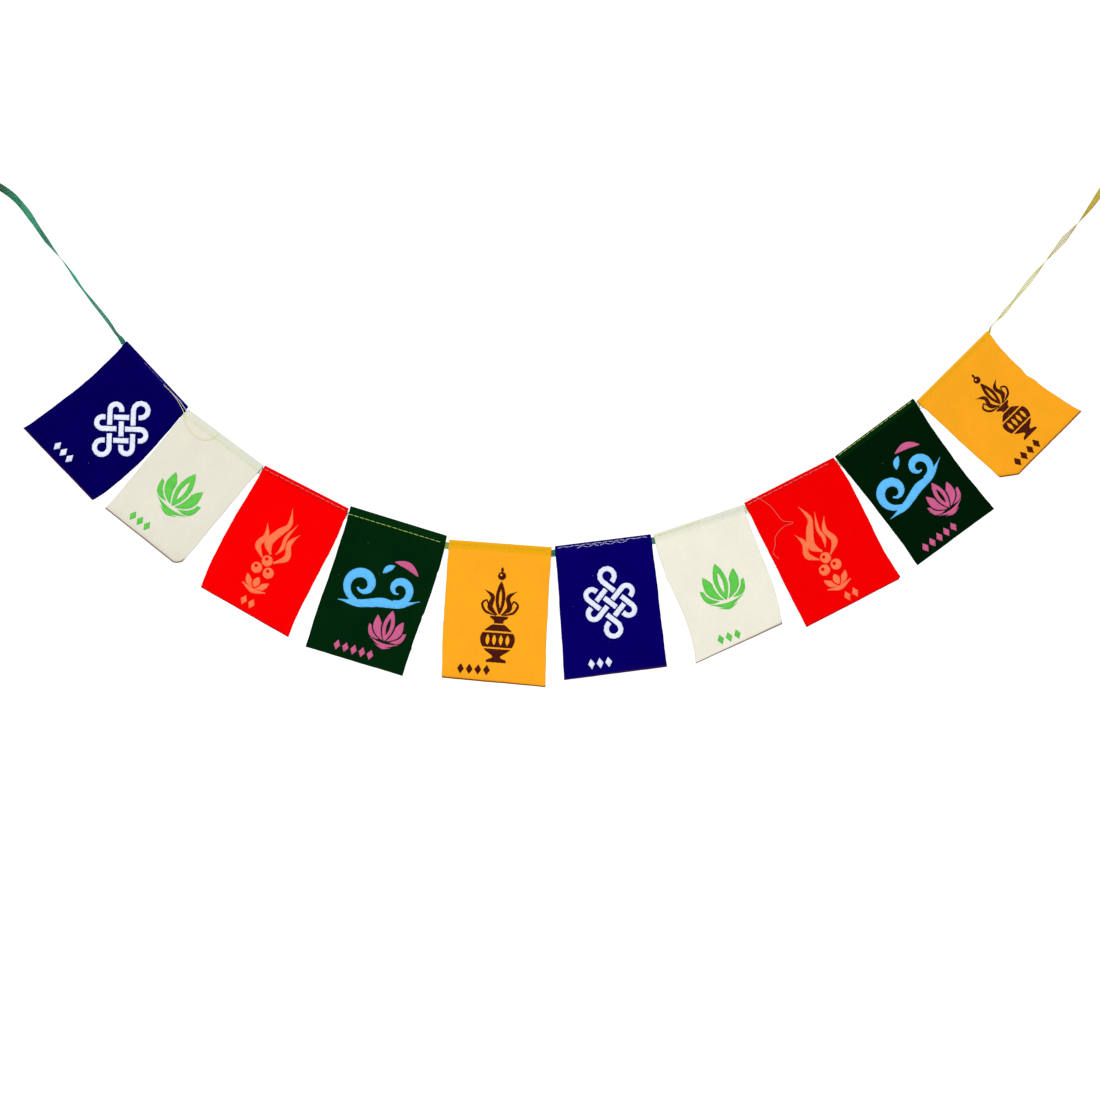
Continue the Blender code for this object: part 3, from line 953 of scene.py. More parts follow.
def ribbon_material():
    """Narrow woven ribbon, dyed in stretches from forest green to olive gold, with a soft gloss."""
    own = settings().ribbon
    nodes = Nodes("woven_ribbon")
    where = nodes.add("ShaderNodeTexCoord").outputs["Object"]
    right_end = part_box("ribbon")[1].x
    share = nodes.between(nodes.split(where)[0], 0.0, right_end, ease="LINEAR")
    ramp = nodes.add("ShaderNodeValToRGB")
    nodes.feed(ramp, "Fac", share)
    stops = ramp.color_ramp.elements
    stops[0].color = (*getattr(own, RIBBON_DYES[0][1]), 1.0)
    stops[-1].color = (*getattr(own, RIBBON_DYES[-1][1]), 1.0)
    for place, dye in RIBBON_DYES[1:]:
        stops.new(place * MM / right_end).color = (*getattr(own, dye), 1.0)
    strand = nodes.attribute("strand")
    turn = nodes.split(strand)[1]
    streaks = nodes.noise(nodes.scaled(strand, (0.16, 0.0, 3.7)), 1.0, 2.0, 0.6)
    base = nodes.shaded(ramp.outputs["Color"], streaks, 0.72, 1.3)
    filaments = nodes.math("SINE", nodes.math("MULTIPLY", turn, 9.0))
    fine = nodes.math("ADD", nodes.math("MULTIPLY", filaments, 0.5), 0.5)
    # Painted shade: the grooves between filaments are darkened in colour, besides being lower in the
    # relief.
    base = nodes.shaded(base, fine, 0.90, 1.06)
    relief = nodes.bump(fine, 0.35, 0.00006)
    return nodes.finish(base, 0.5, relief, 0.06, 0.0)


def plain_material(name, tone, rough):
    """The studio floor's plain paint, with a faint unevenness."""
    nodes = Nodes(name)
    where = nodes.add("ShaderNodeTexCoord").outputs["Object"]
    cloudy = nodes.noise(where, 1.5, 2.0, 0.5)
    base = nodes.shaded(tone, cloudy, 0.985, 1.0)
    relief = nodes.bump(cloudy, 0.02, 0.001)
    return nodes.finish(base, rough, relief, 0.1)


# The printed motifs, drawn in millimetres about their own middle, x to the right and y up. Each
# is a list of outlines with an ink, laid one over the other; no ink bares the cloth again.

def spot(x, y):
    """A point of a motif."""
    return Vector((x, y))


def round_line(centre, radius, start=0.0, end=360.0, pieces=40):
    """Points round part of a circle."""
    line = []
    for piece in range(pieces + 1):
        turn = math.radians(start + (end - start) * piece / pieces)
        line.append(centre + radius * spot(math.cos(turn), math.sin(turn)))
    return line


def disc(centre, radius):
    """A round outline."""
    return round_line(centre, radius, pieces=32)[:-1]


def petal(base, tip, wide, lean=0.0, fullness=0.8):
    """A pointed leaf from base to tip. A lean bends its middle to its left."""
    axis = tip - base
    side = spot(-axis.y, axis.x).normalized()
    steps = 16
    left, right = [], []
    for step in range(steps + 1):
        part = step / steps
        swell = math.sin(math.pi * part) ** fullness * wide / 2
        middle = base + axis * part + side * lean * math.sin(math.pi * part)
        left.append(middle + side * swell)
        right.append(middle - side * swell)
    return left + right[-2:0:-1]


def brush(points, widths, step=0.9):
    """A brush stroke along a smooth line whose width swells and thins as listed."""
    flat = [Vector((point.x, point.y, 0.0)) for point in points]
    line = smooth_line(flat, step)
    given = reaches_of(flat)
    reached = reaches_of(line)
    left, right = [], []
    last = len(line) - 1
    for number, point in enumerate(line):
        place = reached[number] / reached[-1] * given[-1]
        passed = [i for i in range(len(given) - 1) if given[i] <= place + 1e-6] or [0]
        here = passed[-1]
        part = min(1.0, (place - given[here]) / (given[here + 1] - given[here]))
        ease = part * part * (3 - 2 * part)
        half = (widths[here] + (widths[here + 1] - widths[here]) * ease) / 2
        heading = (line[min(number + 1, last)] - line[max(number - 1, 0)]).normalized()
        side = spot(-heading.y, heading.x)
        left.append(point.xy + side * half)
        right.append(point.xy - side * half)
    return left + right[::-1]


def mirrored(points):
    """The same points on the other side of the motif's middle line."""
    return [spot(-point.x, point.y) for point in points]


def moved(outlines, x, y, size=1.0):
    """Outlines made larger or smaller, then moved."""
    return [([point * size + spot(x, y) for point in line], ink) for line, ink in outlines]


# The endless knot: from one of its bands to the next, how far its corner loops reach, a band's
# width, and how far from a crossing the lower band is left out.
KNOT_SPACE = 8.6
KNOT_REACH = 5.4
KNOT_BAND = 3.7
UNDER_GAP = 2.75


def knot_line(space, reach):
    """The endless knot's closed line, and whether it passes under itself at each point."""
    line = []

    def straight(fixed, upright, start, end):
        steps = 40
        for step in range(steps):
            run = start + (end - start) * step / steps
            nearest = max(-1, min(1, round(run / space)))
            crossing = abs(run - nearest * space)
            even = (round(fixed / space) + nearest) % 2 == 0
            below_it = crossing < UNDER_GAP and (even != upright)
            line.append((spot(fixed, run) if upright else spot(run, fixed), below_it))

    def bend(centre, radius, start, end):
        for point in round_line(centre, radius, start, end, 18)[:-1]:
            line.append((point, False))

    far = space + reach
    half = space / 2
    straight(-space, True, -far, far)
    bend(spot(-half, far), half, 180, 0)
    straight(0.0, True, far, -far)
    bend(spot(half, -far), half, 180, 360)
    straight(space, True, -far, far)
    bend(spot(far, far), reach, 180, -90)
    straight(space, False, far, -far)
    bend(spot(-far, half), half, 90, 270)
    straight(0.0, False, -far, far)
    bend(spot(far, -half), half, 90, -90)
    straight(-space, False, far, -far)
    bend(spot(-far, -far), reach, 90, 360)
    return line


def endless_knot(ink):
    """An endless knot standing on its corner, woven over and under itself."""
    line = knot_line(KNOT_SPACE, KNOT_REACH)
    start = next(i for i, (point, under) in enumerate(line) if under)
    line = line[start:] + line[:start]
    outlines, run = [], []
    for point, under in line + [line[0]]:
        if under and len(run) > 3:
            outlines.append((brush(run[::2], [KNOT_BAND] * len(run[::2]), 2.0), ink))
        if under:
            run = []
        else:
            turned = spot(point.x - point.y, point.x + point.y) / math.sqrt(2)
            run.append(turned)
    return outlines


def lotus(ink):
    """A lotus seen from the side, on a shallow dish of ripples."""
    outlines = []
    pairs = (
        (spot(3.0, -10.0), spot(16.5, 0.5), 6.6, -2.6),
        (spot(2.0, -10.5), spot(11.5, 9.5), 8.0, -1.8),
    )
    for base, tip, wide, lean in pairs:
        leaf = petal(base, tip, wide, lean)
        clear = petal(base - spot(0.4, 0.8), tip + spot(0.4, 0.9), wide + 2.4, lean)
        for bare, drawn in ((clear, leaf), (mirrored(clear), mirrored(leaf))):
            outlines += [(bare, None), (drawn, ink)]
    outlines += [
        (petal(spot(0.0, -12.0), spot(0.0, 17.6), 12.4), None),
        (petal(spot(0.0, -11.0), spot(0.0, 16.5), 9.6), ink),
        (petal(spot(0.0, -5.5), spot(0.0, 9.5), 3.0), None),
        (brush([spot(-12.5, -10.8), spot(0.0, -14.6), spot(12.5, -10.8)], [0.4, 3.4, 0.4]), ink),
        (brush([spot(-7.0, -15.2), spot(0.0, -16.9), spot(7.0, -15.2)], [0.3, 1.8, 0.3]), ink),
    ]
    return outlines


def flaming_jewels(ink):
    """Three jewels on a small pedestal, with tall tongues of flame."""
    outlines = [
        (brush([spot(-9.5, -31.5), spot(0.0, -34.0), spot(9.5, -31.5)], [1.0, 3.4, 1.0]), ink),
        (petal(spot(0.0, -31.8), spot(-9.0, -24.0), 4.6, 1.2), ink),
        (petal(spot(0.0, -31.8), spot(9.0, -24.0), 4.6, -1.2), ink),
        (petal(spot(0.0, -32.4), spot(0.0, -22.0), 7.4), None),
        (petal(spot(0.0, -31.4), spot(0.0, -23.0), 5.2), ink),
    ]
    for x, y in ((-4.8, -17.4), (4.8, -17.4), (0.0, -9.6)):
        outlines += [(disc(spot(x, y), 4.1), ink), (disc(spot(x - 1.0, y + 1.1), 1.3), None)]
    left_tongue = [spot(-4.6, -9.0), spot(-11.4, -2.0), spot(-9.2, 7.0), spot(-12.6, 15.5)]
    right_tongue = [spot(4.6, -9.0), spot(11.8, -1.0), spot(8.8, 9.0), spot(13.0, 18.5)]
    middle = [spot(0.0, -4.4), spot(-5.2, 3.0), spot(-1.6, 13.0), spot(2.6, 21.5), spot(-1.0, 33.4)]
    inner = [spot(3.4, -2.6), spot(5.6, 4.4), spot(4.6, 12.0), spot(8.2, 24.5)]
    outlines += [
        (brush(left_tongue, [1.4, 4.6, 3.6, 0.3]), ink),
        (brush(right_tongue, [1.4, 4.6, 3.6, 0.3]), ink),
        (brush(middle, [1.6, 6.2, 5.4, 3.4, 0.3]), ink),
        (brush(inner, [0.8, 3.0, 2.6, 0.3]), ink),
    ]
    return outlines


def curl_line(centre, outer, inner, start, sweep):
    """A line that winds inwards round a centre."""
    pieces = 14
    line = []
    for piece in range(pieces + 1):
        part = piece / pieces
        turn = math.radians(start + sweep * part)
        radius = outer + (inner - outer) * part
        line.append(centre + radius * spot(math.cos(turn), math.sin(turn)))
    return line


def cloud(ink):
    """A bank of wind-blown cloud: two winding curls over a long trailing stroke."""
    pieces = 15
    taper = [1.4 + 5.2 * math.sin(math.pi * min(1.0, 0.12 + i / pieces)) for i in range(pieces)]
    big = curl_line(spot(-13.5, 5.0), 12.0, 3.4, -95, -400)
    small = curl_line(spot(12.5, 9.0), 9.4, 2.8, -100, 380)
    trail = [
        spot(-27.0, -9.5), spot(-12.0, -8.0), spot(3.0, -3.0), spot(15.0, -1.5), spot(29.0, 5.5),
    ]
    return [
        (brush(big, taper), ink),
        (brush(small, [0.85 * width for width in taper]), ink),
        (brush(trail, [0.5, 5.4, 6.6, 4.6, 0.3]), ink),
        (petal(spot(-2.0, 17.0), spot(5.0, 24.5), 4.4, 0.8), ink),
    ]


def cloud_and_lotus(ink, second):
    """A cloud with a lotus of another colour under it, and a rising drop above."""
    outlines = moved(cloud(ink), -1.0, 5.5, 1.05)
    outlines += moved(lotus(second), 12.5, -15.0, 0.86)
    outlines.append((petal(spot(3.0, 34.0), spot(23.0, 28.5), 5.4, 2.8), second))
    return outlines


# Half the vase's width at each height, from the foot up to its lip.
VASE = (
    (-35.5, 7.6), (-33.6, 7.2), (-32.0, 3.4), (-30.2, 3.6), (-26.0, 9.6), (-20.0, 12.9),
    (-14.0, 12.4), (-8.6, 7.4), (-6.0, 3.9), (-3.6, 3.8), (-1.6, 6.6), (-0.2, 6.9),
)


def treasure_vase(ink):
    """A footed vase with a banded belly, from which a jewel and curling leaves rise."""
    side = smooth_line([Vector((wide, height, 0.0)) for height, wide in VASE], 1.0)
    right = [point.xy for point in side]
    outlines = [(right + mirrored(right)[::-1], ink)]
    for height, thick in ((-24.6, 1.3), (-12.2, 1.3), (-6.2, 0.9)):
        outlines.append((brush([spot(-14, height), spot(14, height)], [thick, thick]), None))
    for x in (-7.6, -2.55, 2.55, 7.6):
        outlines.append((petal(spot(x, -22.4), spot(x, -14.4), 3.0), None))
    leaf = [spot(1.6, 0.6), spot(7.4, 6.4), spot(6.0, 14.4), spot(12.6, 19.6)]
    tendril = [spot(2.6, 0.4), spot(10.6, 3.0), spot(13.6, 8.6), spot(10.4, 11.6), spot(9.2, 8.8)]
    for points, widths in ((leaf, [1.2, 4.0, 3.2, 0.3]), (tendril, [0.8, 2.0, 1.8, 1.3, 0.8])):
        outlines.append((brush(points, widths), ink))
        outlines.append((brush(mirrored(points), widths), ink))
    outlines += [
        (petal(spot(0.0, 0.8), spot(0.0, 26.6), 7.4), ink),
        (petal(spot(0.0, 6.0), spot(0.0, 20.5), 2.2), None),
        (disc(spot(0.0, 30.6), 3.1), ink),
        (disc(spot(-0.7, 31.4), 0.9), None),
        (petal(spot(0.0, 33.0), spot(0.0, 37.4), 2.2), ink),
    ]
    return outlines


# How far apart a print's inner points lie, so that it follows the cloth, and how long the sides of
# its outlines may be.
PRINT_GRID = 2.4
PRINT_SIDE = 0.9

# Each dye's inks and motif.
INKS = {
    "navy": ("ice",), "cream": ("leaf",), "red": ("coral",), "green": ("sky", "mauve"),
    "amber": ("umber",),
}
MOTIFS = {
    "navy": endless_knot,
    "cream": lotus,
    "red": flaming_jewels,
    "green": cloud_and_lotus,
    "amber": treasure_vase,
}


def mark_row(count, ink):
    """A row of small lozenges."""
    step, half_high, half_wide = 6.4, 3.9, 2.5
    outlines = []
    for number in range(count):
        x = (number - (count - 1) / 2) * step
        top, bottom = spot(x, half_high), spot(x, -half_high)
        left, right = spot(x - half_wide, 0.0), spot(x + half_wide, 0.0)
        outlines.append(([top, left, bottom, right], ink))
    return outlines


def inside(outline, x, y):
    """Whether a point lies within an outline."""
    within = False
    before = outline[-1]
    for point in outline:
        if (point.y > y) != (before.y > y):
            if x < (before.x - point.x) * (y - point.y) / (before.y - point.y) + point.x:
                within = not within
        before = point
    return within


def ragged(outline, amount, chance):
    """The outline with short sides and its points strayed a little, as ink creeps in a nap."""
    points = []
    for here, there in zip(outline, outline[1:] + outline[:1]):
        pieces = max(1, math.ceil((there - here).length / PRINT_SIDE))
        for piece in range(pieces):
            stray = spot(chance.uniform(-amount, amount), chance.uniform(-amount, amount))
            points.append(here.lerp(there, piece / pieces) + stray)
    return points


def fill_outlines(outlines):
    """Flat points and triangles for laid-over outlines, each triangle with the ink that shows."""
    flat, edges, boxes = [], [], []
    for line, ink in outlines:
        first = len(flat)
        flat += line
        edges += [(first + i, first + (i + 1) % len(line)) for i in range(len(line))]
        xs, ys = [point.x for point in line], [point.y for point in line]
        boxes.append((min(xs), max(xs), min(ys), max(ys)))
    low_x, high_x = min(box[0] for box in boxes), max(box[1] for box in boxes)
    low_y, high_y = min(box[2] for box in boxes), max(box[3] for box in boxes)
    for column in range(int((high_x - low_x) / PRINT_GRID) + 1):
        for row in range(int((high_y - low_y) / PRINT_GRID) + 1):
            flat.append(spot(low_x + column * PRINT_GRID, low_y + row * PRINT_GRID))
    points, _, faces = delaunay_2d_cdt(flat, edges, [], 0, 1e-5)[:3]
    shown, inks = [], []
    for face in faces:
        x = sum(points[i].x for i in face) / len(face)
        y = sum(points[i].y for i in face) / len(face)
        top = None
        for (line, ink), (x0, x1, y0, y1) in zip(outlines, boxes):
            if x0 <= x <= x1 and y0 <= y <= y1 and inside(line, x, y):
                top = ink
        if top is not None:
            shown.append(face)
            inks.append(top)
    used = sorted({i for face in shown for i in face})
    order = {old: new for new, old in enumerate(used)}
    return [points[i] for i in used], [tuple(order[i] for i in face) for face in shown], inks


def make_print(flag, materials):
    """One flag's print, laid over the cloth's own curves."""
    chance = random.Random(FLAGS.index(flag) + 31)
    own = settings().prints
    placed = PRINTED[flag.name]
    drawing = MOTIFS[flag.dye](*INKS[flag.dye])
    drawing = moved(drawing, placed.motif[0], -placed.motif[1], placed.size)
    marks = mark_row(MARKS[flag.dye], INKS[flag.dye][-1])
    drawing += moved(marks, placed.mark_row[0], -placed.mark_row[1])
    rough = mm(own.roughness)
    drawing = [(ragged(line, rough, chance), ink) for line, ink in drawing]
    flat, faces, inks = fill_outlines(drawing)
    points = []
    for place in flat:
        share = share_at(flag, place.x, -place.y)
        points.append(cloth_front(flag, share, -place.y, 0.0) * MM)
    mesh = bpy.data.meshes.new("print_" + flag.name[-2:])
    mesh.from_pydata(points, [], faces)
    add_vectors(mesh, "cloth", [(place.x, place.y, layer_of(flag)) for place in flat])
    names = INKS[flag.dye]
    for name in names:
        mesh.materials.append(materials[name])
    for face, ink in zip(mesh.polygons, inks):
        face.material_index = names.index(ink)
    mesh.shade_smooth()
    item = link(bpy.data.objects.new(mesh.name, mesh))
    skin = item.modifiers.new("ink", "SOLIDIFY")
    skin.thickness = 2 * own.lift
    skin.offset = 0.0
    return item


# The flags.

# How far up from the cut bottom edge the painted shadow reaches.
BOTTOM_SHADOW_REACH = 3.0


def cloth_columns(flag):
    """Shares of the width that carry the fine cloth's columns, one where a cut corner starts."""
    count = settings().velvet.columns
    columns = [step / count for step in range(count + 1)]
    trim = TRIMS.get(flag.name)
    if trim:
        cut = trim.along / (flag.top + flag.left_out + flag.right_out)
        cut = cut if trim.side == "left" else 1 - cut
        nearest = min(columns[1:-1], key=lambda column: abs(column - cut))
        columns[columns.index(nearest)] = cut
    return columns


def cloth_path(flag, share):
    """The cloth's path at one column, from its bottom over the fold to the flap's end.

    Each point is its distance below the fold, its depth, and whether it is past the fold.
    """
    reach = side_length(flag, share)
    edge_rows, panel_rows, hem_rows, fold_rows, flap_rows = 5, 36, 14, 9, 8
    downs = [reach - EDGE_LONG * row / edge_rows for row in range(edge_rows)]
    hang = reach - EDGE_LONG - HEM_LONG
    downs += [HEM_LONG + hang * row / panel_rows for row in range(panel_rows, 0, -1)]
    hem = HEM_LONG - FOLD_DOWN
    downs += [FOLD_DOWN + hem * row / hem_rows for row in range(hem_rows, -1, -1)]
    path = [(down, panel_depth(flag, share, down), False) for down in downs]
    for row in range(1, fold_rows + 1):
        turn = math.pi * row / fold_rows
        past = 2 * row > fold_rows
        path.append((FOLD_DOWN - LAYER * math.sin(turn), -LAYER * math.cos(turn), past))
    flap = FLAP_LONG + flag.fold_up - FOLD_DOWN
    for row in range(1, flap_rows + 1):
        path.append((FOLD_DOWN + flap * row / flap_rows, LAYER, True))
    return path


def hem_mark(flag, share, down, behind):
    """How strongly the tinted hem band shows on a point of the cloth."""
    depth, left, right = HEM_BANDS[flag.name]
    strength = left + (right - left) * share
    over = SOFT_HEM_FADES.get(flag.dye, HEM_FADE)
    fade = min(1.0, max(0.0, (depth - down) / over + 0.5))
    return strength * (1.0 if behind else fade)


def velvet_mesh(flag):
    """The flag's middle layer, with what its materials read at each point."""
    columns = cloth_columns(flag)
    paths = [cloth_path(flag, share) for share in columns]
    rows = len(paths[0])
    points, cloth, marks, edges, faces = [], [], [], [], []
    for row in range(rows):
        for share, path in zip(columns, paths):
            down, depth, behind = path[row]
            points.append(flag_point(flag, share, down, depth) * MM)
            to_side = min(share, 1 - share) * flag.top
            to_end = path[0][0] - down if not behind else FLAP_LONG + flag.fold_up - down
            height = down if not behind else -down
            cloth.append((share * flag.top, height, layer_of(flag)))
            marks.append((hem_mark(flag, share, down, behind), min(to_side, to_end), 0.0))
            # How strongly the painted shadow browns the cloth near its cut bottom edge.
            bottom = 0.0 if behind else max(0.0, 1 - to_end / BOTTOM_SHADOW_REACH)
            edges.append((SHADES.get(flag.name, 1.0), bottom, 0.0))
    wide = len(columns)
    for row in range(rows - 1):
        for column in range(wide - 1):
            here = row * wide + column
            faces.append((here, here + 1, here + wide + 1, here + wide))
    mesh = bpy.data.meshes.new("velvet_" + flag.name)
    mesh.from_pydata(points, [], faces)
    add_vectors(mesh, "cloth", cloth)
    add_vectors(mesh, "marks", marks)
    add_vectors(mesh, "edges", edges)
    return mesh


def make_flag(flag, materials):
    """One flag: its panel and the hem folded back over the ribbon are a single piece of cloth."""
    mesh = velvet_mesh(flag)
    for part in ("face", "back", "edge"):
        mesh.materials.append(materials[flag.dye, part])
    mesh.shade_smooth()
    item = link(bpy.data.objects.new(mesh.name, mesh))
    solid = item.modifiers.new("thickness", "SOLIDIFY")
    solid.thickness = settings().velvet.thick
    solid.offset = 0.0
    solid.use_even_offset = True
    solid.material_offset = 1
    solid.material_offset_rim = 2
    soft = item.modifiers.new("worn_edge", "BEVEL")
    soft.width = settings().velvet.thick / 4
    soft.segments = 2
    soft.limit_method = "ANGLE"
    soft.angle_limit = math.radians(60)
    soft.harden_normals = False
    return item


# Stitches, loose threads, frayed fibres and lint.

# A stitch's points: the share of its length, and how far each stands off the cloth.
STITCH_POINTS = (
    (0.0, -0.45), (0.06, 0.02), (0.20, 0.20), (0.50, 0.24), (0.80, 0.20), (0.94, 0.02), (1.0, -0.45),
)


def stitch_line(place):
    """Points of one stitch: it rises from the cloth, lies along it and dives back."""
    return [place(part, lift) for part, lift in STITCH_POINTS]


def sew_seam(seam, strands, chance):
    """Sews one row of stitches through the hem, to be seen in front and behind."""
    own = settings().stitches
    flag = next(flag for flag in FLAGS if flag.name == seam.flag)
    pitch, long = mm(own.pitch), mm(own.long)
    start, end = seam.start * flag.top, seam.end * flag.top
    count = int((end - start) / pitch)
    for number in range(count):
        first = start + (number + 0.12) * pitch + chance.uniform(-0.15, 0.15)
        lean = seam.lean * (1 if number % 2 else -1) + chance.uniform(-0.06, 0.06)
        gap = pitch - long

        def front(part, lift):
            run = first + long * part
            down = seam.down + lean * (part - 0.5) * 2
            return cloth_front(flag, share_at(flag, run, down), down, lift)

        def behind(part, lift):
            run = first - gap / 2 - pitch / 2 + long * part
            down = max(seam.down - lean * (part - 0.5) * 2, FOLD_DOWN)
            return hem_back(flag, share_at(flag, run, down), down, lift)

        for side in (front, behind):
            line = stitch_line(side)
            half = mm(own.thick) / 2 * chance.uniform(0.9, 1.1)
            strands.sweep(line, [BACKWARD] * len(line), half * 1.1, half * 0.9, 8, number)


def flag_under(point):
    """The flag that a point of the string's plane lies on or nearest to, in its own measures."""
    best = None
    for flag in FLAGS:
        share, down = place_on_flag(flag, point)
        outside = max(0.0, -share, share - 1) + max(0.0, FOLD_DOWN - down) / 50
        if best is None or outside < best[0]:
            best = (outside, flag, min(1.0, max(0.0, share)), down)
    return best[1:]


def lay_thread(points, strands, chance):
    """Lays a loose thread end over the cloth, close to it and a little springy."""
    flat = smooth_line([Vector((x, 0.0, z)) for x, z in points], 1.2)
    line = []
    last = len(flat) - 1
    for number, point in enumerate(flat):
        flag, share, down = flag_under(point)
        lift = LOOSE_THICK / 2 + LOOSE_SPRING * math.sin(math.pi * number / last)
        lift -= 0.6 * LOOSE_THICK if number in (0, last) else 0.0
        depth = cloth_front(flag, share, max(down, FOLD_DOWN), lift).y
        line.append(Vector((point.x, depth, point.z)))
    for _ in range(3):
        middle = [(a.y + 2 * b.y + c.y) / 4 for a, b, c in zip(line, line[1:], line[2:])]
        for point, depth in zip(line[1:-1], middle):
            point.y = min(point.y, depth)
    half = LOOSE_THICK / 2
    strands.sweep(line, [BACKWARD] * len(line), half, half, 6, chance.random() * 9)


# Frayed fibres: how many a cut side has, half a fibre's thickness, its length, and how it tapers.
FRAY_PER_SIDE = 110
FRAY_HALF = 0.045
FRAY_LONG = (0.25, 0.6)
FRAY_TAPER = (1.0, 0.8, 0.25)


def fray_flag(flag, strands, chance):
    """Short broken fibres along a flag's cut sides and bottom."""
    for side in ("left", "right", "bottom"):
        for _ in range(FRAY_PER_SIDE):
            place = chance.random()
            if side == "bottom":
                share = 0.01 + 0.98 * place
                down = side_length(flag, share) - 0.15
                outward = below(flag.tilt)
            else:
                share = 0.0 if side == "left" else 1.0
                down = 2.5 + (side_length(flag, share) - 3.0) * place
                outward = along(flag.tilt) * (-1 if side == "left" else 1)
            depth = panel_depth(flag, share, down) + chance.uniform(-0.5, 0.5)
            root = flag_point(flag, share, down, depth) - outward * 0.2
            swing = below(flag.tilt) if side != "bottom" else along(flag.tilt)
            lean = swing * chance.uniform(-0.7, 0.9) + BACKWARD * chance.uniform(-0.5, 0.5)
            long = chance.uniform(*FRAY_LONG)
            bend = swing * chance.uniform(-0.3, 0.3) * long
            middle = root + (outward + lean * 0.5) * long * 0.55
            line = [root, middle, root + (outward + lean) * long + bend]
            strands.sweep(line, [BACKWARD] * 3, FRAY_HALF, FRAY_HALF, 3, 0, FRAY_TAPER)


# Lint: how many fibres cling to each dark flag, half a fibre's thickness, its length, its taper
# from end to end, and its tone.
LINT = {"flag_01": 2, "flag_04": 6, "flag_06": 4, "flag_09": 4}
LINT_HALF = 0.06
LINT_LONG = (0.5, 1.2)
LINT_TAPER = (0.4, 1.0, 1.0, 1.0, 0.4)
LINT_TONE = (0.25, 0.26, 0.24)


def drop_lint(flag, strands, chance):
    """A few stray pale fibres that cling to a dark flag."""
    for _ in range(LINT[flag.name]):
        share, down = chance.uniform(0.08, 0.92), chance.uniform(14.0, 88.0)
        across = share * flag.top
        turn, long = chance.uniform(0, math.tau), chance.uniform(*LINT_LONG)
        line = []
        for step in range(len(LINT_TAPER)):
            run = long * (step / (len(LINT_TAPER) - 1) - 0.5)
            x = across + run * math.cos(turn) + 0.25 * math.sin(step * 1.9 + turn)
            y = down + run * math.sin(turn)
            line.append(cloth_front(flag, share_at(flag, x, y), y, 0.05))
        strands.sweep(line, [BACKWARD] * len(line), LINT_HALF, LINT_HALF, 4, 0, LINT_TAPER)


# The ribbon.

def tape_frames(line, turns):
    """The ribbon's direction across, and its face's direction, at each point of its line."""
    wides, faces = [], []
    last = len(line) - 1
    for number, turn in enumerate(turns):
        heading = (line[min(number + 1, last)] - line[max(number - 1, 0)]).normalized()
        across = BACKWARD.cross(heading).normalized()
        square = heading.cross(across)
        angle = math.radians(turn)
        wide = across * math.cos(angle) + square * math.sin(angle)
        wides.append(wide)
        faces.append(heading.cross(wide))
    return wides, faces


# How many lengthwise threads the ribbon has.
WARPS = 5

# How far the ribbon narrows where it leaves the first and last flags, how far it is drawn up into
# their folds there, and over what length.
Gather = namedtuple("Gather", "narrow lift long")
GATHERS = {"flag_01": Gather(0.30, 2.0, 5.0), "flag_10": Gather(0.76, 2.3, 9.0)}


def gathered(line, wides):
    """The ribbon drawn together and up into the fold, where it leaves the first and last flags."""
    ends = (
        (STARTS[FLAGS[0].name], FLAGS[0]),
        (STARTS[FLAGS[-1].name] + along(FLAGS[-1].tilt) * FLAGS[-1].top, FLAGS[-1]),
    )
    moved_line, moved_wides = [], []
    for point, wide in zip(line, wides):
        place, flag = min(ends, key=lambda end: (point - end[0]).length)
        own = GATHERS[flag.name]
        near = math.exp(-((point - place).length / own.long) ** 2)
        moved_line.append(point - below(flag.tilt) * own.lift * near)
        moved_wides.append(wide * (1 - own.narrow * near))
    return moved_line, moved_wides


def weave_ribbon(strands, line, turns, dense=True, sides=6):
    """Weaves a length of ribbon: lengthwise threads, and one that crosses them to and fro."""
    own = settings().ribbon
    pitch = mm(own.dense_pitch if dense else own.pitch)
    half_weft = mm(own.dense_wide if dense else own.open_wide) / 2
    half_warp = mm(own.warp_wide if dense else own.open_wide) / 2
    half_thick = mm(own.strand_thick) / 2
    line, turns = even_line(line, turns, pitch / 2)
    wides, faces = tape_frames(line, turns)
    line, wides = gathered(line, wides)
    outer = mm(own.wide) / 2 - half_warp
    places = [outer * (2 * number / (WARPS - 1) - 1) for number in range(WARPS)]

    def height(number, step):
        if step % 2:
            return 0.0
        return half_thick if (number + step // 2) % 2 == 0 else -half_thick

    for number, place in enumerate(places):
        warp = [
            point + wides[i] * place + faces[i] * height(number, i)
            for i, point in enumerate(line)
        ]
        strands.sweep(warp, faces, half_warp, half_thick, sides, number)
    weft, normals = [], []
    edge = outer + half_warp * 0.8
    for step in range(0, len(line) - 1, 2):
        outwards = 1 if step // 2 % 2 == 0 else -1
        for number, place in list(enumerate(places))[::outwards]:
            sink = faces[step] * height(number, step)
            weft.append(line[step] + wides[step] * place - sink)
            normals.append(faces[step])
        weft.append(line[step + 1] + wides[step + 1] * edge * outwards)
        normals.append(faces[step + 1])
    strands.sweep(weft, normals, half_weft, half_thick, 5, WARPS + 2)


def knot_at(line, last):
    """The middle of the knot at a run's free end, and the direction that the run leaves in."""
    end, inner = (line[-1], line[-2]) if last else (line[0], line[1])
    away = (end - inner).normalized()
    return end + away * (KNOT_LONG / 2 - KNOT_BITE), away


def loop_line(knot, away):
    """The hanging loop's line: two straight strands and the round crown that they run into."""
    centre = knot + away * LOOP_LONG
    side = Vector((away.z, 0.0, -away.x))
    reach = math.pi / 2 + math.asin(LOOP_ROUND / LOOP_LONG)
    mouth = side * (RIBBON_THICK + CLEAR)
    line = [knot + mouth]
    for step in range(LOOP_STEPS + 1):
        turn = reach - 2 * reach * step / LOOP_STEPS
        line.append(centre + LOOP_ROUND * (away * math.cos(turn) + side * math.sin(turn)))
    line.append(knot - mouth)
    return line


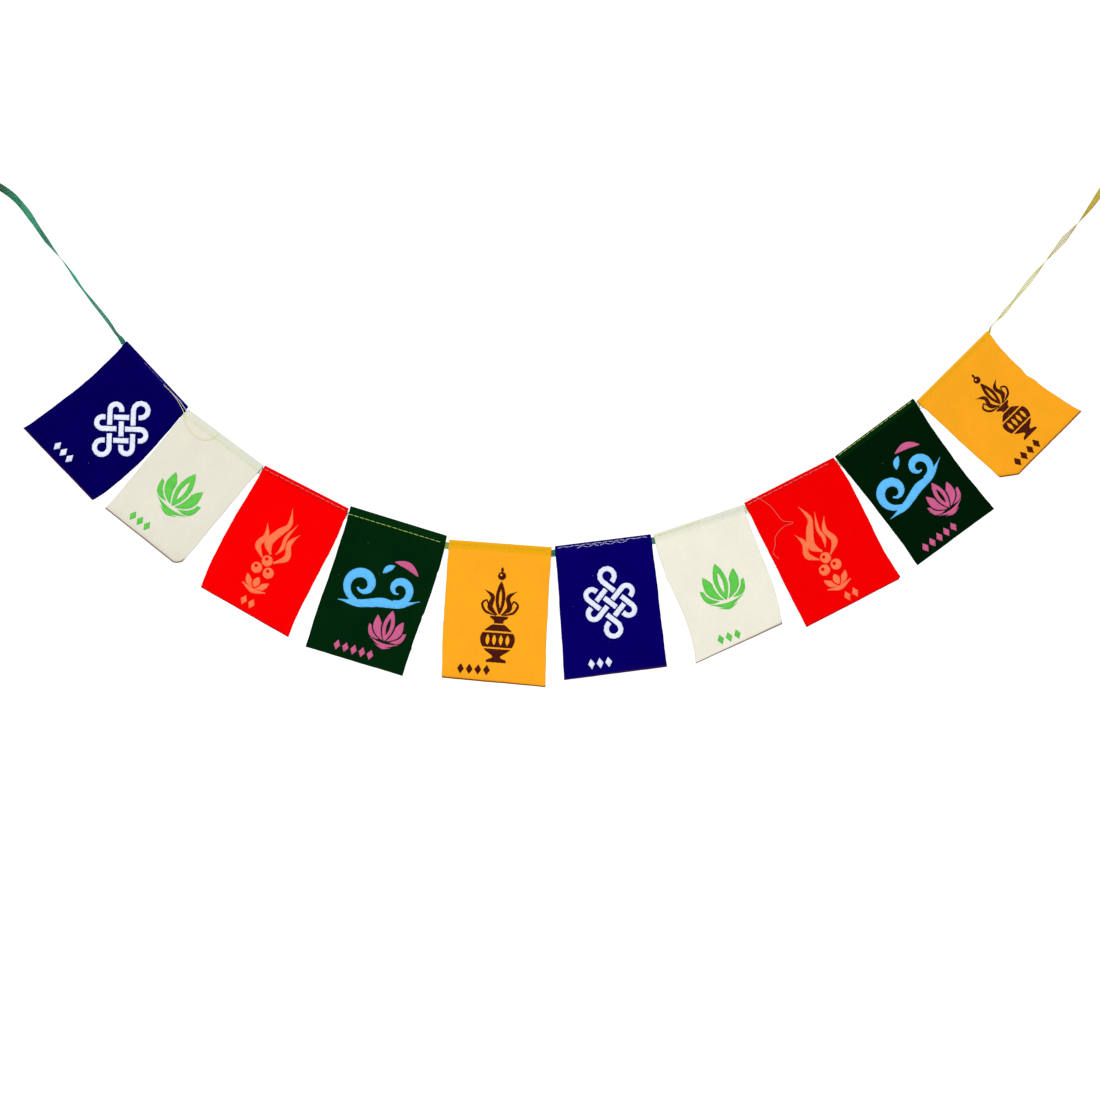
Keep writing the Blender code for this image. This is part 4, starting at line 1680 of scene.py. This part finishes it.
def weave_loop(name, knot, away, material):
    """One hanging loop, edge on to the front."""
    strands = Strands()
    line = loop_line(knot, away)
    fine = smooth_line(line, 1.5)
    weave_ribbon(strands, fine, [90.0] * len(fine))
    return strands.item(name, material)


# The loosened threads of a cut tail: how many, how far apart, half their width and thickness, and
# how they taper.
TAIL_THREADS = 7
TAIL_THREAD_STEP = 0.62
TAIL_THREAD_HALF = (0.11, 0.08)
TAIL_TAPER = (1.0, 0.9, 0.5)


def weave_tail(name, knot, away, material):
    """The short cut end that hangs from a knot, with a few loosened threads."""
    drop = (away * TAIL_LEAN + Vector((0.0, TAIL_REACH, -1.0))).normalized()
    line = [knot, knot + drop * TAIL_LONG / 2, knot + drop * TAIL_LONG]
    strands = Strands()
    weave_ribbon(strands, line, list(TAIL_TURNS))
    chance = random.Random(7)
    across = BACKWARD.cross(drop).normalized()
    for number in range(TAIL_THREADS):
        from_middle = number - TAIL_THREADS // 2
        root = line[-1] + across * from_middle * TAIL_THREAD_STEP - drop * 0.8
        stray = across * chance.uniform(-0.8, 0.8) + BACKWARD * chance.uniform(-0.3, 0.3)
        end = [root, root + drop * 1.3, root + drop * 1.9 + stray]
        strands.sweep(end, [BACKWARD] * 3, *TAIL_THREAD_HALF, 5, number, TAIL_TAPER)
    return strands.item(name, material)


# The knot's gathered strand: its radius, the steps of its line, the folds of ribbon about its core,
# how often they wind round it, how far out they lie, and half the width and thickness of a fold and
# of the core.
KNOT_STRAND = 1.75
KNOT_STEPS = 110
KNOT_FOLDS = 7
KNOT_WINDS = 2.2
KNOT_FOLD_OUT = 0.95
KNOT_FOLD_HALF = (0.78, 0.62)
KNOT_CORE_HALF = (1.1, 1.0)


def tied_line(knot, away):
    """The closed line of a strand that passes through itself, within the knot's own size."""
    side = Vector((away.z, 0.0, -away.x))
    along_it = away * (KNOT_LONG / 2 - KNOT_STRAND) / 3
    across_it = side * (KNOT_WIDE / 2 - KNOT_STRAND) / 3
    through_it = BACKWARD * (KNOT_DEEP / 2 - KNOT_STRAND)
    line = []
    for step in range(KNOT_STEPS + 1):
        turn = math.tau * step / KNOT_STEPS
        long = math.sin(turn) + 2 * math.sin(2 * turn)
        wide = math.cos(turn) - 2 * math.cos(2 * turn)
        deep = -math.sin(3 * turn)
        line.append(knot + along_it * long + across_it * wide + through_it * deep)
    return line


def tie_knot(name, knot, away, material):
    """The pulled-tight knot, one thick gathered strand of ribbon passing through itself."""
    line = tied_line(knot, away)
    normals = [point - knot for point in line]
    last = len(line) - 1
    strands = Strands()
    for fold in range(KNOT_FOLDS):
        shifted = []
        for number, point in enumerate(line):
            heading = (line[min(number + 1, last)] - line[max(number - 1, 0)]).normalized()
            first = normals[number].cross(heading).normalized()
            second = heading.cross(first)
            angle = math.tau * (fold / KNOT_FOLDS + KNOT_WINDS * number / last)
            out = first * math.cos(angle) + second * math.sin(angle)
            shifted.append(point + out * KNOT_FOLD_OUT)
        strands.sweep(shifted, normals, *KNOT_FOLD_HALF, 8, fold)
    strands.sweep(line, normals, *KNOT_CORE_HALF, 8, KNOT_FOLDS + 1)
    return strands.item(name, material)


def free_run(name, run, last, material):
    """A free stretch of the ribbon."""
    strands = Strands()
    line, turns = run
    if last:
        reached = reaches_of(line)
        split = next(i for i, value in enumerate(reached) if value > DENSE_FROM * reached[-1])
        weave_ribbon(strands, line[:split + 1], turns[:split + 1], False)
        weave_ribbon(strands, line[split:], turns[split:])
    else:
        weave_ribbon(strands, line, turns)
    piece = strands.item(name, material)
    return piece


def keep(piece, slot, *nodes):
    """Makes a piece ride with the string and stand for its solid. The finish's name, slot, is not
    used.
    """
    if nodes:
        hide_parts(*nodes)
    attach(piece, ROOT)
    return piece


# The steps, as operators.

class FLAGS_OT_place_camera(Operator):
    """Stand the camera square to the string, at the height of its middle."""

    bl_idname = "flags.place_camera"
    bl_label = "Place the camera"

    def execute(self, context):
        own = settings().studio
        data = bpy.data.cameras.new("camera")
        data.lens = own.lens
        data.sensor_width = 36.0
        data.clip_end = 100.0
        camera = link(bpy.data.objects.new("camera", data))
        camera.location = (own.centre_x, -own.distance, -own.centre_down)
        camera.rotation_euler = (math.radians(90), 0.0, 0.0)
        context.scene.camera = camera
        return {"FINISHED"}


class FLAGS_OT_weave_ends(Operator):
    """Weave the ribbon's two free ends, each with its knot, hanging loop and cut tail."""

    bl_idname = "flags.weave_ends"
    bl_label = "Weave the ribbon's ends"

    def execute(self, context):
        material = ribbon_material()
        for side, run, last in (("left", left_run(), False), ("right", right_run(), True)):
            knot, away = knot_at(run[0], last)
            others = [
                tie_knot("knot_" + side, knot, away, material),
                weave_loop("loop_" + side, knot, away, material),
                weave_tail("tail_" + side, knot, away, material),
            ]
            piece = free_run("ribbon_" + side, run, last, material)
            for item in [piece] + others:
                keep(item, "ribbon_satin", "ribbon")
        return {"FINISHED"}


class FLAGS_OT_thread_hems(Operator):
    """Weave the ribbon's long stretch through all the hems."""

    bl_idname = "flags.thread_hems"
    bl_label = "Thread the hems"

    def execute(self, context):
        strands = Strands()
        for line, dense in hem_stretches():
            weave_ribbon(strands, line, [0.0] * len(line), dense, 5)
        piece = strands.item("ribbon_hems", bpy.data.materials["woven_ribbon"])
        keep(piece, "ribbon_satin", "ribbon")
        return {"FINISHED"}


class FLAGS_OT_cut_flags(Operator):
    """Cut, fold and hang the ten velvet flags."""

    bl_idname = "flags.cut_flags"
    bl_label = "Cut the flags"

    def execute(self, context):
        materials = {}
        for dye in HEM_TINTS:
            materials[dye, "face"] = velvet_material(dye)
            materials[dye, "back"] = backing_material(dye)
            materials[dye, "edge"] = raw_edge_material(dye)
        for flag in FLAGS:
            piece = make_flag(flag, materials)
            keep(piece, "velvet_" + flag.dye, flag.name)
        return {"FINISHED"}


class FLAGS_OT_print_flags(Operator):
    """Print a motif and a row of small marks on each flag."""

    bl_idname = "flags.print_flags"
    bl_label = "Print the flags"

    def execute(self, context):
        materials = {
            ink: ink_material(ink, dye) for dye, inks in INKS.items() for ink in inks
        }
        for flag in FLAGS:
            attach(make_print(flag, materials), ROOT)
        return {"FINISHED"}


class FLAGS_OT_sew_hems(Operator):
    """Sew the hems, stitch by stitch."""

    bl_idname = "flags.sew_hems"
    bl_label = "Sew the hems"

    def execute(self, context):
        used = [seam.thread for seam in SEAMS] + [thread for thread, _ in LOOSE_THREADS.values()]
        threads = {thread: thread_material(thread) for thread in dict.fromkeys(used)}
        for number, seam in enumerate(SEAMS):
            strands = Strands()
            sew_seam(seam, strands, random.Random(number + 5))
            name = "stitches_%s_%d" % (seam.flag[-2:], number)
            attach(strands.item(name, threads[seam.thread]), ROOT)
        return {"FINISHED"}


class FLAGS_OT_leave_threads(Operator):
    """Leave the loose thread ends, the frayed fibres of the cut edges and a little lint."""

    bl_idname = "flags.leave_threads"
    bl_label = "Leave loose threads"

    def execute(self, context):
        for name, (thread, points) in LOOSE_THREADS.items():
            strands = Strands()
            lay_thread(points, strands, random.Random(len(points)))
            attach(strands.item(name, bpy.data.materials["thread_" + thread]), ROOT)
        for number, flag in enumerate(FLAGS):
            strands = Strands()
            chance = random.Random(number + 101)
            fray_flag(flag, strands, chance)
            tone = getattr(settings().velvet, flag.dye)
            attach(strands.item("frayed_" + flag.name[-2:], fibre_material(flag.dye, tone)), ROOT)
        pale = fibre_material("lint", LINT_TONE)
        for flag in FLAGS:
            if flag.name in LINT:
                strands = Strands()
                drop_lint(flag, strands, random.Random(LINT[flag.name] + 3))
                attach(strands.item("lint_" + flag.name[-2:], pale), ROOT)
        return {"FINISHED"}


class FLAGS_OT_light_studio(Operator):
    """Lay the pale floor and hang the soft lights of a plain studio."""

    bl_idname = "flags.light_studio"
    bl_label = "Light the studio"

    def execute(self, context):
        own = settings().studio
        scene = context.scene
        scene.view_settings.view_transform = "Standard"
        scene.view_settings.look = "None"
        world = bpy.data.worlds.new("pale_room")
        world.use_nodes = True
        room = world.node_tree.nodes["Background"]
        room.inputs["Color"].default_value = (1.0, 1.0, 1.0, 1.0)
        room.inputs["Strength"].default_value = own.backdrop
        scene.world = world
        half = 30.0
        low = -own.floor_down
        corners = [(x * half, y * half, low) for x, y in ((-1, -1), (1, -1), (1, 1), (-1, 1))]
        mesh = bpy.data.meshes.new("floor")
        mesh.from_pydata(corners, [], [(0, 1, 2, 3)])
        mesh.materials.append(plain_material("pale_floor", (0.96, 0.96, 0.96), 0.9))
        link(bpy.data.objects.new("floor", mesh))
        middle = Vector((own.centre_x, 0.0, -own.centre_down))
        lights = (
            ("key", own.key, 1.3, Vector((-0.75, -1.7, 1.35))),
            ("fill", own.fill, 1.8, Vector((1.3, -1.6, -0.25))),
            ("back", own.fill, 1.4, Vector((-0.4, 1.9, 1.0))),
        )
        for name, power, size, offset in lights:
            data = bpy.data.lights.new(name, "AREA")
            data.energy = power
            data.size = size
            light = link(bpy.data.objects.new(name, data))
            light.location = middle + offset
            light.rotation_euler = (-offset).to_track_quat("-Z", "Y").to_euler()
        return {"FINISHED"}


class FLAGS_PT_sidebar(Panel):
    """The string's steps and settings."""

    bl_idname = "FLAGS_PT_sidebar"
    bl_label = "Prayer Flags"
    bl_space_type = "VIEW_3D"
    bl_region_type = "UI"
    bl_category = "Prayer Flags"

    def draw(self, context):
        layout = self.layout
        own = context.scene.prayer_flags
        for step in STEPS:
            layout.operator(step.bl_idname)
        for group in (own.velvet, own.prints, own.stitches, own.ribbon, own.studio):
            box = layout.box()
            for name in group.bl_rna.properties.keys():
                if name not in ("rna_type", "name"):
                    box.prop(group, name)


STEPS = (
    FLAGS_OT_place_camera,
    FLAGS_OT_weave_ends,
    FLAGS_OT_thread_hems,
    FLAGS_OT_cut_flags,
    FLAGS_OT_print_flags,
    FLAGS_OT_sew_hems,
    FLAGS_OT_leave_threads,
    FLAGS_OT_light_studio,
)
CLASSES = (
    VelvetSettings, PrintSettings, StitchSettings, RibbonSettings, StudioSettings,
    PrayerFlagSettings, *STEPS, FLAGS_PT_sidebar,
)


def register():
    """Registers the settings, steps and panel."""
    for item in CLASSES:
        bpy.utils.register_class(item)
    bpy.types.Scene.prayer_flags = PointerProperty(type=PrayerFlagSettings)


def unregister():
    """Takes the settings, steps and panel away again."""
    del bpy.types.Scene.prayer_flags
    for item in reversed(CLASSES):
        bpy.utils.unregister_class(item)


def main():
    """Makes the whole string and its studio."""
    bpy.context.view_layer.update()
    register()
    for step in STEPS:
        group, name = step.bl_idname.split(".")
        getattr(getattr(bpy.ops, group), name)()
    bpy.context.view_layer.update()


if __name__ == "__main__":
    main()
